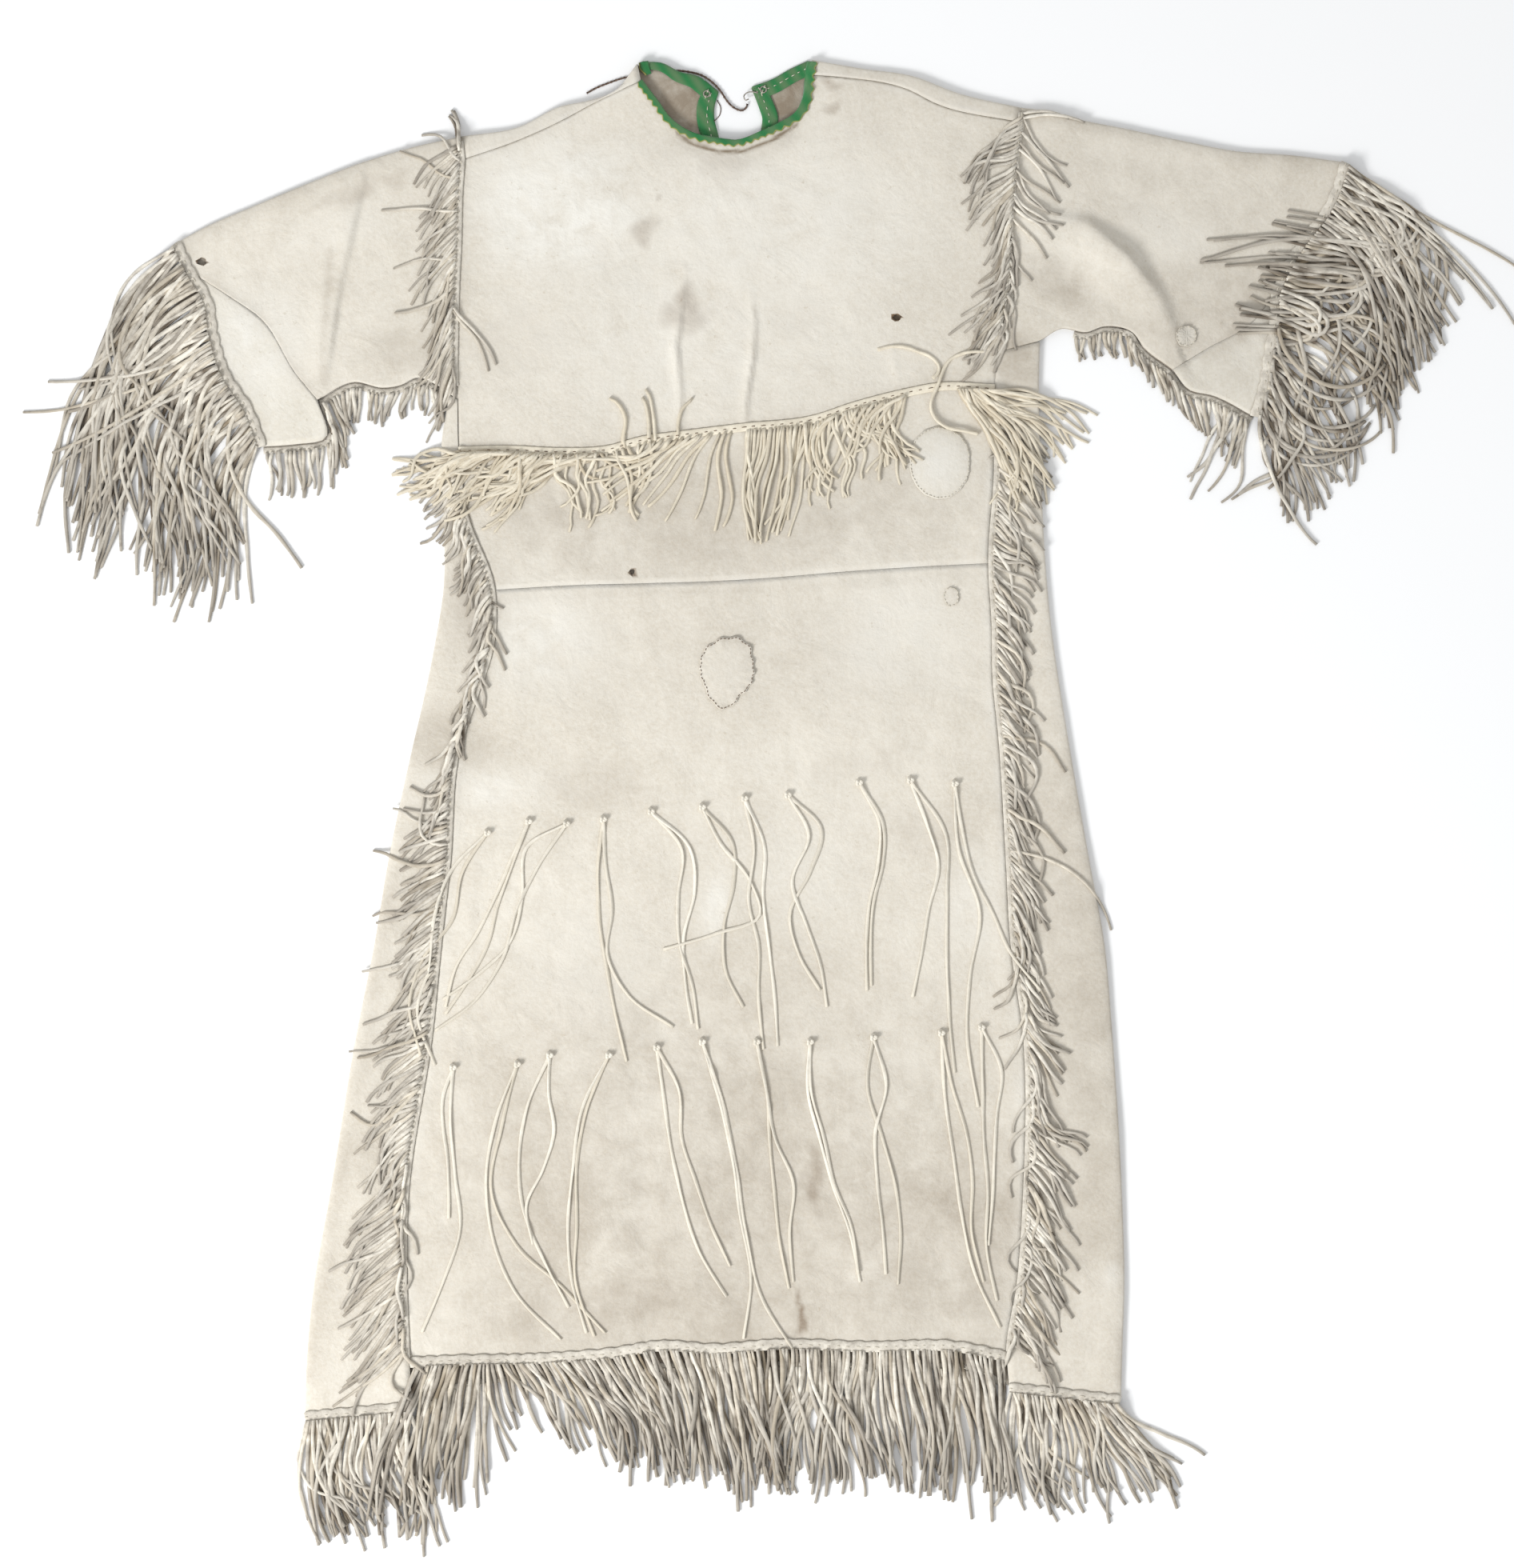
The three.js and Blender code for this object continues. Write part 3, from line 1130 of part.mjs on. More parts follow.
const GORE_HEM_STEPS = 3;
const goreHemLine = (hem) => [[hem.fold, hem.foldY], [hem.seam, hem.y]];
const onArmhole = (top, line, shift) => (
  [top, ...line.slice(0, -1)].map(([x, y]) => [x + shift, y - SEAM_STRIP.armhole])
);
const strips = {
  hem_fringe_back: {
    line: shortened(beside(steps(HEM_BACK, COLUMNS.backSkirt), -EDGE_OFFSET), STRIP.width),
    bottom: REST_ROOM,
  },
  hem_fringe_left: {
    line: beside(steps(goreHemLine(GORE_LEFT_HEM), GORE_HEM_STEPS), -EDGE_OFFSET),
    bottom: REST_ROOM,
  },
  hem_fringe_right: {
    line: beside(steps(goreHemLine(GORE_RIGHT_HEM).reverse(), GORE_HEM_STEPS), -EDGE_OFFSET),
    bottom: REST_ROOM,
  },
  hem_fringe_front: {
    line: beside(steps(HEM_FRONT, COLUMNS.skirt), -EDGE_OFFSET),
    bottom: HIDE + REST_ROOM,
  },
  // The underarm strips start clear of the gores' tops.
  underarm_fringe_left: { line: beside(sleeveLeft.under, EDGE_OFFSET).slice(1), bottom: REST_ROOM },
  underarm_fringe_right: { line: beside(sleeveRight.under, -EDGE_OFFSET).slice(3), bottom: REST_ROOM },
  cuff_fringe_left: { line: beside(sleeveLeft.cuff, -EDGE_OFFSET), bottom: REST_ROOM },
  cuff_fringe_right: { line: beside(sleeveRight.cuff, EDGE_OFFSET), bottom: REST_ROOM },
  side_fringe_left: { line: beside(goreSeam.left, -SEAM_STRIP.side) },
  side_fringe_right: { line: beside(goreSeam.right, SEAM_STRIP.side) },
  armhole_fringe_left: { line: onArmhole(shoulderFold.left[0], armhole.left, -1) },
  armhole_fringe_right: { line: onArmhole(shoulderFold.right[COLUMNS.shoulder], armhole.right, 0) },
  waist_fringe: { line: beside(steps(WAIST, COLUMNS.skirt), -SEAM_STRIP.waist) },
};
for (const [name, { line, bottom }] of Object.entries(strips)) {
  const { guides, count, stray, segments, width } = FRINGES[name];
  const salt = name.length;
  const rows = [{ guides, count, stray, salt, ...STRIP_ENDS, curl: 1 }];
  for (const row of FLYERS[name] ?? []) rows.push({ ...FLYER_ROW, salt: salt + FLYER_ROW.salt, ...row });
  place(name, fringe({ strip: line, bottom, rows, segments, width }), COLOURS.fringe);
}
for (const tie of WAIST_TIES) place(tie.name, cord(tie.route, WAIST_TIE, tie.steps), COLOURS.cream);
for (const pair of THONGS) place(`thongs_${pair.name}`, thongPair(pair), COLOURS.cream);

export default dress;
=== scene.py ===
# A buckskin dress laid flat: hides with their creases, stains and seams, fringes strand by
# strand, a bound neck, patches, stitches and tied thongs, on a white table seen from above.
# The tables hold millimetres in the frame's own axes, and MM turns them into metres.
import math

import bpy
import numpy as np
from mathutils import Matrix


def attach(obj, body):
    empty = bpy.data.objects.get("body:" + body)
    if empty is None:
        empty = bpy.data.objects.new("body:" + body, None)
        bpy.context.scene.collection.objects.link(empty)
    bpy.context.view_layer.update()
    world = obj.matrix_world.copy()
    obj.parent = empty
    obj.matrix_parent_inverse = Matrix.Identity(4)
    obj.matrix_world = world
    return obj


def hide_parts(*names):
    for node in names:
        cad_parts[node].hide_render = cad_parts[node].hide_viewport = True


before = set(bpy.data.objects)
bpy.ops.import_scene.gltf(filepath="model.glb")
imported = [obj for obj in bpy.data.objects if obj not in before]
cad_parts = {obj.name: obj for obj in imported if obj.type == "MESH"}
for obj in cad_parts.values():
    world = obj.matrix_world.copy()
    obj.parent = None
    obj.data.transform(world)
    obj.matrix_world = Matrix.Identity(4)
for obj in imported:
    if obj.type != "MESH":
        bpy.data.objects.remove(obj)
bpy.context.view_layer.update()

MM = 0.001
SEED = 11
SIDES = ("left", "right")

# Thicknesses and layers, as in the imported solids
HIDE = 1.6
BACK_Z = HIDE / 2  # middle of the back layer
FRONT_Z = 3.2  # middle of the front layer
SEAM_ROOM = 0.06  # from a seam to the edge of each piece that it joins
FOLD_REACH = 1.2  # how far a fold bulges past the edges of its layers
FOLD_STEPS = 6
BAND = 0.9  # thickness of bindings and patches
REST = 0.3  # between what is sewn on and what it lies on
STRIP_WIDTH = 6
EDGE_OFFSET = STRIP_WIDTH / 2 + 0.45  # from a raw edge to the middle of the strip outside it

# Seams and edges in plan
SHOULDER_FOLD = {
    "left": [(-240, 603), (-187, 612), (-151, 630), (-122, 636), (-101, 644), (-81, 668)],
    "right": [(76, 672), (122, 664), (164, 658), (207, 642), (264, 629)],
}
SHOULDER_SEAM = {
    "left": [(-238, 583), (-194, 598), (-151, 617), (-119, 634), (-78, 653)],
    "right": [(75, 659), (101, 657), (164, 645), (185, 634), (264, 616)],
}
NECK_FRONT = [(-78, 653), (-63, 636), (-52, 620), (-30, 606), (6, 600), (29, 608), (55, 620),
              (66, 632), (75, 659)]
NECK_BACK = {
    "left": [(-81, 668), (-60, 669), (-44, 661), (-27, 657), (-9, 644)],
    "right": [(22, 648), (41, 655), (55, 663), (76, 672)],
}
SLIT_END = (-4, 490)
SLIT = {
    "left": [(-9, 644), (-13, 630), (-13, 620), (-9, 603), SLIT_END],
    "right": [(22, 648), (29, 630), (32, 620), (31, 611), SLIT_END],
}
BACK_WAIST_MIDDLE = (-4, 342)
ARMHOLE = {
    "left": [(-238, 583), (-240, 554), (-241, 511), (-243, 468), (-244, 425), (-244, 382), (-243, 367)],
    "right": [(264, 616), (258, 576), (255, 540), (253, 504), (251, 468), (245, 439), (243, 410)],
}
WAIST = [(-242, 324), (-194, 325), (-151, 323), (-108, 325), (-79, 333), (-43, 338), (14, 345),
         (76, 352), (113, 364), (155, 375), (194, 382), (240, 380)]
SKIRT_SEAM = [(-210, 196), (-143, 200), (-71, 202), (-9, 204), (26, 206), (113, 213), (175, 217),
              (235, 220)]
HEM_FRONT = [(-286, -497), (-238, -495), (-177, -494), (-107, -489), (-58, -482), (-14, -485),
             (42, -481), (125, -483), (207, -483), (251, -492)]
HEM_BACK = [(-284, -537), (-252, -520), (-187, -508), (-7, -498), (137, -500), (245, -513),
            (253, -520)]

# Sides of the skirt: height, where the gore folds under, and its seam; the ends have a fold lower
# or higher than the seam.
GORE = {
    "left": {
        "top": ((-250, 371), (-243, 367)),
        "rows": [(324, -257, -242), (266, -255, -235), (196, -255, -210), (151, -262, -210),
                 (101, -272, -225), (58, -282, -240), (-50, -305, -250), (-122, -317, -258),
                 (-202, -333, -266), (-353, -358, -288), (-425, -371, -289), (-497, -378, -286)],
        "hem": ((-380, -546), (-284, -537)),
    },
    "right": {
        "top": ((280, 419), (243, 410)),
        "rows": [(380, 279, 240), (300, 281, 240), (220, 285, 235), (165, 290, 238),
                 (115, 297, 239), (65, 305, 244), (-50, 325, 251), (-122, 338, 255),
                 (-202, 345, 266), (-353, 354, 266), (-425, 356, 261), (-492, 354, 251)],
        "hem": ((353, -531), (253, -520)),
    },
}
SKIRT_SEAM_ROW = 2

SLEEVE = {
    "left": {
        "fold": [(-240, 603), (-281, 594), (-328, 580), (-382, 559), (-425, 541), (-467, 523),
                 (-495, 508)],
        "cuff_above": [(-495, 508), (-482, 481)],
        "cuff_below": [(-482, 481), (-467, 456), (-462, 426), (-452, 392), (-430, 357), (-418, 325)],
        "insert_seam": [(-482, 481), (-447, 459), (-420, 440), (-388, 390), (-369, 367)],
        "underarm": [(-243, 367), (-261, 380), (-279, 387), (-295, 380), (-310, 378), (-336, 383),
                     (-369, 367)],
        "insert_edge": [(-369, 367), (-361, 333), (-389, 327), (-418, 325)],
        "share_above": 0.15,
    },
    "right": {
        "fold": [(264, 629), (281, 627), (317, 618), (353, 611), (405, 600), (457, 590), (510, 586),
                 (554, 580)],
        "cuff_above": [(554, 580), (546, 554), (536, 534), (518, 511), (500, 482), (491, 461)],
        "cuff_below": [(491, 461), (491, 439), (486, 410), (481, 379), (473, 352)],
        "insert_seam": [(491, 461), (471, 436), (431, 413), (400, 394)],
        "underarm": [(243, 410), (280, 420), (300, 431), (323, 428), (338, 433), (363, 428),
                     (375, 413), (400, 394)],
        "insert_edge": [(400, 394), (415, 376), (436, 371), (473, 352)],
        "share_above": 0.55,
    },
}

# Folds and creases of the front layer: a path, the height of its ridge (a trough below zero), its
# reach to the left of the path and to the right.
FOLDS = [
    ([(278, 531), (323, 523), (358, 494), (386, 458), (402, 420)], 11.5, 8, 28),
    ([(352, 500), (384, 462), (392, 440)], 1.2, 10, 10),
    ([(-328, 566), (-350, 469), (-364, 376)], 4.8, 3.2, 22),
    ([(-352, 552), (-373, 470), (-384, 400)], -0.5, 12, 12),
    ([(-37, 484), (-43, 436), (-46, 415), (-42, 375), (-41, 330)], 3.2, 1.7, 5),
    ([(22, 460), (25, 436), (23, 405), (18, 375), (15, 334)], 3.2, 1.7, 5),
    ([(-105, -250), (-112, -480)], 1.4, 26, 26),
    ([(-20, -280), (-14, -480)], 1.2, 30, 30),
    ([(120, -330), (128, -480)], 1.5, 24, 24),
    ([(225, -360), (222, -480)], 1.5, 20, 20),
    ([(-285, 10), (-318, -200), (-340, -380)], 1.3, 20, 20),
    ([(290, 40), (310, -160), (318, -420)], 1.3, 22, 22),
    # finer creases
    ([(-200, -204), (-60, -203), (60, -206), (190, -198)], -0.5, 3, 3),
    ([(148, 420), (150, 398), (154, 376)], 0.7, 2.5, 3.5),
    ([(157, 372), (158, 330), (157, 305)], 0.8, 2, 5),
    ([(-75, -300), (-72, -390), (-64, -475)], -0.9, 9, 14),
    ([(198, -440), (200, -484)], -0.9, 7, 9),
    ([(-190, 120), (-196, 60), (-222, 0)], 0.8, 7, 5),
    ([(-225, -10), (-236, -160), (-262, -330)], 1.0, 6, 8),
    ([(232, 340), (226, 240), (229, 170)], 0.9, 8, 5),
    ([(238, 60), (246, -80), (256, -260)], 1.0, 6, 6),
    ([(-300, 560), (-330, 520), (-341, 470)], 0.8, 14, 9),
    ([(-262, 540), (-282, 470), (-277, 400)], 0.9, 12, 9),
    ([(-300, 420), (-322, 404), (-352, 392)], 0.9, 8, 6),
    ([(300, 575), (360, 560), (440, 548)], 0.9, 16, 12),
    ([(420, 520), (470, 500), (505, 470)], 0.9, 14, 12),
    ([(330, 470), (352, 450), (360, 434)], -0.8, 6, 8),
    ([(-160, 590), (-120, 560), (-100, 520)], 0.6, 22, 16),
    ([(60, 560), (100, 500), (110, 430)], 0.5, 26, 22),
    ([(-160, 480), (-150, 420), (-152, 350)], 0.6, 16, 18),
    ([(-220, 300), (-190, 250), (-150, 215)], 0.6, 12, 14),
    ([(-30, 300), (-20, 240), (-24, 210)], 0.6, 9, 9),
    ([(60, 330), (66, 280), (60, 230)], 0.5, 10, 12),
]
STRING_TUNNEL = {"path": [(-94, 655), (-45, 663)], "height": 3.6, "reach": 26,
                 "front_height": 4.8, "front_reach": 40}
SLIT_RISE = {"path": [(8, 640), (2, 500)], "height": 1.6, "reach": 46}
# The hide between its creases: waves of a size in plan and a height
SWELLS = [(210, 0.55), (120, 0.45), (64, 0.26), (31, 0.13), (15, 0.07)]

# Neck
BINDING_LINE = [(-77, 654), (-63, 636), (-51, 620), (-30, 606.5), (-9, 602.5), (8, 600.5), (29, 608),
                (47, 616.5), (61, 626), (67, 638), (69, 656), (71.3, 671.5)]
BINDING_WIDTH = [(0, 7.4), (0.4, 7), (0.6, 7.2), (0.8, 9.4), (1, 10)]  # place along it, and width
CORNER_LINE = [(-71.5, 671.4), (-70.5, 666), (-68.5, 660)]
CORNER_WIDTH = [(0, 11), (1, 7)]
BAND_WIDTH = {
    "left": [(0, 6.5), (0.18, 7), (0.38, 12), (0.54, 13), (0.62, 15), (1, 14)],
    "right": [(0, 9), (0.32, 13.5), (0.5, 12.5), (1, 11.5)],
}
BINDING_END = 575
LOOSE_THREAD = [(-9.7, 637), (-6.4, 630), (-7.4, 623.5), (-12.3, 618)]
PINK_PITCH = 7.6
PINK_DEPTH = 3.0
EYES = {"neck_eye_left": (-19, 642), "neck_eye_right": (32, 646)}
EYE_RADIUS = 2.7
EYE_THREADS = {"angles": (1.2, 4.4), "reach": (1.4, 4.2), "radius": 0.35, "arch": 0.9}
WIRE = 1.1
HOOK = [(27, 643, 3.4), (22, 644, 3.6), (17, 643, 3.7), (14.5, 640, 3.8), (16, 636.5, 3.8),
        (19, 637.5, 3.8)]
STRING = 1.8
NECK_STRING = [(-127, 643, 1.2), (-119, 647.5, 1.2), (-108, 652, 1.2), (-95, 656.5, 1.2),
               (-80, 659.5, 1.2), (-62, 662.5, 1.2), (-44, 663.5, 1.2), (-33, 662, 1.2),
               (-24, 659.5, 1.2), (-14, 653, 1.2), (-6.5, 645, 1.25), (-2, 638, 1.3),
               (3, 632, 1.3), (8.5, 628.5, 1.3), (13, 627.5, 1.4), (16.5, 630, 1.6),
               (17.6, 633.5, 1.8)]
WAIST_TIE = 3
WAIST_TIES = {
    "waist_tie_left": [(135, 412, 5.8), (144, 414.5, 5.8), (153, 415, 5.8), (163, 413.5, 5.8),
                       (172, 410, 5.8), (180, 407, 5.9), (187, 402, 6), (190, 396.5, 6.6),
                       (189, 391, 7.8), (184, 386, 8.7)],
    "waist_tie_right": [(234, 409, 6.4), (228, 410, 7.4), (222, 410, 8.2), (216, 409.5, 7.6),
                        (210, 408, 6.4), (204, 405.5, 6.1), (199, 402, 6.2), (195, 396, 6.8),
                        (192.5, 390, 8), (190, 383, 9), (187, 376, 9), (184, 369, 8.9),
                        (182.5, 363, 8.5), (183, 357, 8.2), (186, 351, 7.9), (190.5, 346, 8),
                        (197, 342, 8.6), (204, 340, 9), (211, 339, 8.9), (218, 337.5, 8.2),
                        (225, 336, 7.4)],
}

# Patches: middle, outline about it, crown, count of puckers round the edge and how deep they are,
# how chalky, the hide and the thread, and the slot
PATCHES = {
    "patch_waist": {"middle": (191, 310), "crown": 1.6, "puckers": 19, "gather": 0.008, "chalk": 0.5,
                    "hide": "pale_hide", "thread": 1, "slot": "pale_hide", "outline": [
                        (26, 0), (24, 17), (11, 30), (-8, 32), (-22, 22), (-27, 2), (-24, -16),
                        (-13, -29), (6, -32), (21, -20)]},
    "patch_skirt": {"middle": (-3, 122), "crown": 1.2, "puckers": 15, "gather": 0.03, "chalk": 0.15,
                    "hide": "hide", "thread": 2, "slot": "pale_hide", "outline": [
                        (25, 12), (23, 25), (10, 32), (-6, 29), (-19, 19), (-22, 4), (-17, -12),
                        (-8, -30), (2, -35), (12, -22)]},
    "patch_small": {"middle": (201, 190), "crown": 0.5, "puckers": 7, "gather": 0.03, "chalk": 0.15,
                    "hide": "hide", "thread": 1, "slot": "pale_hide", "outline": [
                        (6, 1), (4, 7), (-2, 8), (-6, 4), (-6, -3), (-3, -8), (3, -8)]},
    "patch_sleeve": {"middle": (412, 424), "crown": 0.6, "puckers": 9, "gather": 0.03, "chalk": 0.15,
                     "hide": "hide", "thread": 1, "slot": "hide", "outline": [
                         (9, 0), (7, 7), (0, 9), (-7, 6), (-9, -1), (-6, -8), (1, -9), (7, -6)]},
}

# Worn holes: piece, middle, half width and half height
HOLES = [("front_bodice", (152, 441), 3.6, 2.6), ("skirt_upper", (-86, 212.5), 2.1, 2.4),
         ("sleeve_left", (-473, 491), 4, 3)]

# Marks on the hide: x, y, reach along, reach across, turn in degrees, and how strong
STAINS = [
    (-75, 519, 14, 12, 60, 0.34), (-36, 458, 20, 11, 84, 0.32), (-41, 440, 27, 14, 4, 0.26),
    (-4, 574, 24, 18, 0, 0.14), (-4, 556, 12, 12, 0, 0.1), (-61, 550, 6, 4, 30, 0.22),
    (79, -338, 34, 7, 92, 0.34), (65, -454, 20, 4, 86, 0.6), (70, -330, 14, 5, 80, 0.24),
    (94, 652, 8, 5, 0, 0.3), (91, 631, 10, 6, 20, 0.3), (60, 440, 40, 26, 20, 0.1),
    (-190, 420, 60, 40, 0, 0.12), (-120, 20, 60, 30, 0, 0.14), (120, 40, 70, 20, 10, 0.12),
    (-86, -440, 60, 26, 0, 0.14), (180, -20, 50, 30, 0, 0.14), (-330, 555, 60, 10, 20, 0.2),
    (470, 430, 40, 40, 0, 0.16),
]
DIRTS = [
    (-4, 592, 60, 7, 6, 0.1), (-230, 200, 30, 60, 0, 0.25), (-150, 268, 60, 26, 0, 0.32),
    (60, 262, 110, 24, 4, 0.28), (150, 250, 60, 20, 0, 0.2), (-262, 60, 26, 60, 80, 0.25),
    (-300, -330, 40, 160, 0, 0.14), (330, 40, 30, 120, 0, 0.22), (-20, -330, 260, 200, 0, 0.3),
    (0, 262, 230, 60, 6, 0.24), (430, 440, 90, 80, 0, 0.22), (320, -200, 60, 330, 0, 0.24),
    (30, 130, 200, 60, 0, 0.08), (180, -400, 130, 120, 0, 0.34), (-60, -450, 240, 60, 0, 0.34),
    (400, 560, 150, 60, -8, 0.12), (-330, -300, 60, 260, 0, 0.03), (300, 470, 40, 20, -30, 0.34),
    (-290, 410, 40, 20, 0, 0.22), (260, 400, 20, 30, 0, 0.3), (-200, -484, 70, 8, 0, 0.18),
]
PALES = [
    (-150, 540, 90, 70, 0, 0.8), (40, 520, 150, 90, 0, 0.5), (-170, 150, 60, 50, 0, 0.55),
    (150, 150, 60, 60, 0, 0.4), (-225, 20, 20, 60, 90, 0.55), (-11, -90, 14, 34, -6, 0.7),
    (-420, 420, 50, 50, 0, 0.5), (400, 520, 50, 24, -20, 0.35), (60, -70, 60, 50, 0, 0.3),
    (220, -90, 30, 60, 0, 0.4), (191, 312, 30, 34, 0, 0.5), (345, -420, 8, 12, 0, 0.6),
    (-120, -140, 60, 60, 0, 0.3), (-350, 520, 50, 20, 20, 0.3), (-40, 430, 190, 90, 0, 0.4),
]

# Soiled lines, and lines of painted shade along creases and a ridge: path, reach and strength
DIRT_AND_SHADE_LINES = [
    ([(-46, 606), (-32, 597), (-8, 589.5), (14, 590), (38, 599), (62, 614)], 1.9, 1.15),
    ([(-46, 604), (-8, 584), (14, 584), (38, 592), (58, 606)], 9, 0.2),
    ([(-210, 190), (-100, 194), (60, 199), (230, 212)], 7, 0.12),
    ([(-495, 508), (-425, 541), (-328, 580), (-240, 603)], 14, 0.16),
    ([(264, 629), (353, 611), (457, 590), (554, 580)], 16, 0.2),
    # painted shade on the shaded upper right side of the right sleeve's ridge, with some real soil
    ([(318, 529), (352, 506), (378, 474), (396, 440)], 7, 0.26),
    ([(-357, 500), (-362, 440), (-364, 384)], 4, 0.2),
    # painted shade along the steep right side of the two bodice creases
    ([(-42, 430), (-45, 415), (-41, 375), (-40, 330)], 1.6, 0.18),
    ([(23, 450), (26, 436), (24, 405), (19, 375), (16, 334)], 1.6, 0.22),
    ([(345, -120), (353, -353), (354, -510)], 9, 0.22),
    ([(-300, -60), (-350, -353), (-376, -510)], 8, 0.16),
]


def strands(count, stray, bend, *guides, first=0.005, last=0.995, curl=1, turn=None, spread=0.08):
    """A row of strands: how many, how far their headings stray and how much they bend, in degrees.

    A guide holds a place along the strip, the heading at the root, the heading at the tip, and the
    length. The row runs from first to last. A strand goes from one heading to the other all along,
    sooner with a high curl, or between the two places of a turn. Lengths vary by the spread.
    """
    return {"count": count, "stray": stray, "bend": bend, "guides": np.array(guides, float),
            "first": first, "last": last, "curl": curl, "turn": turn, "spread": spread}
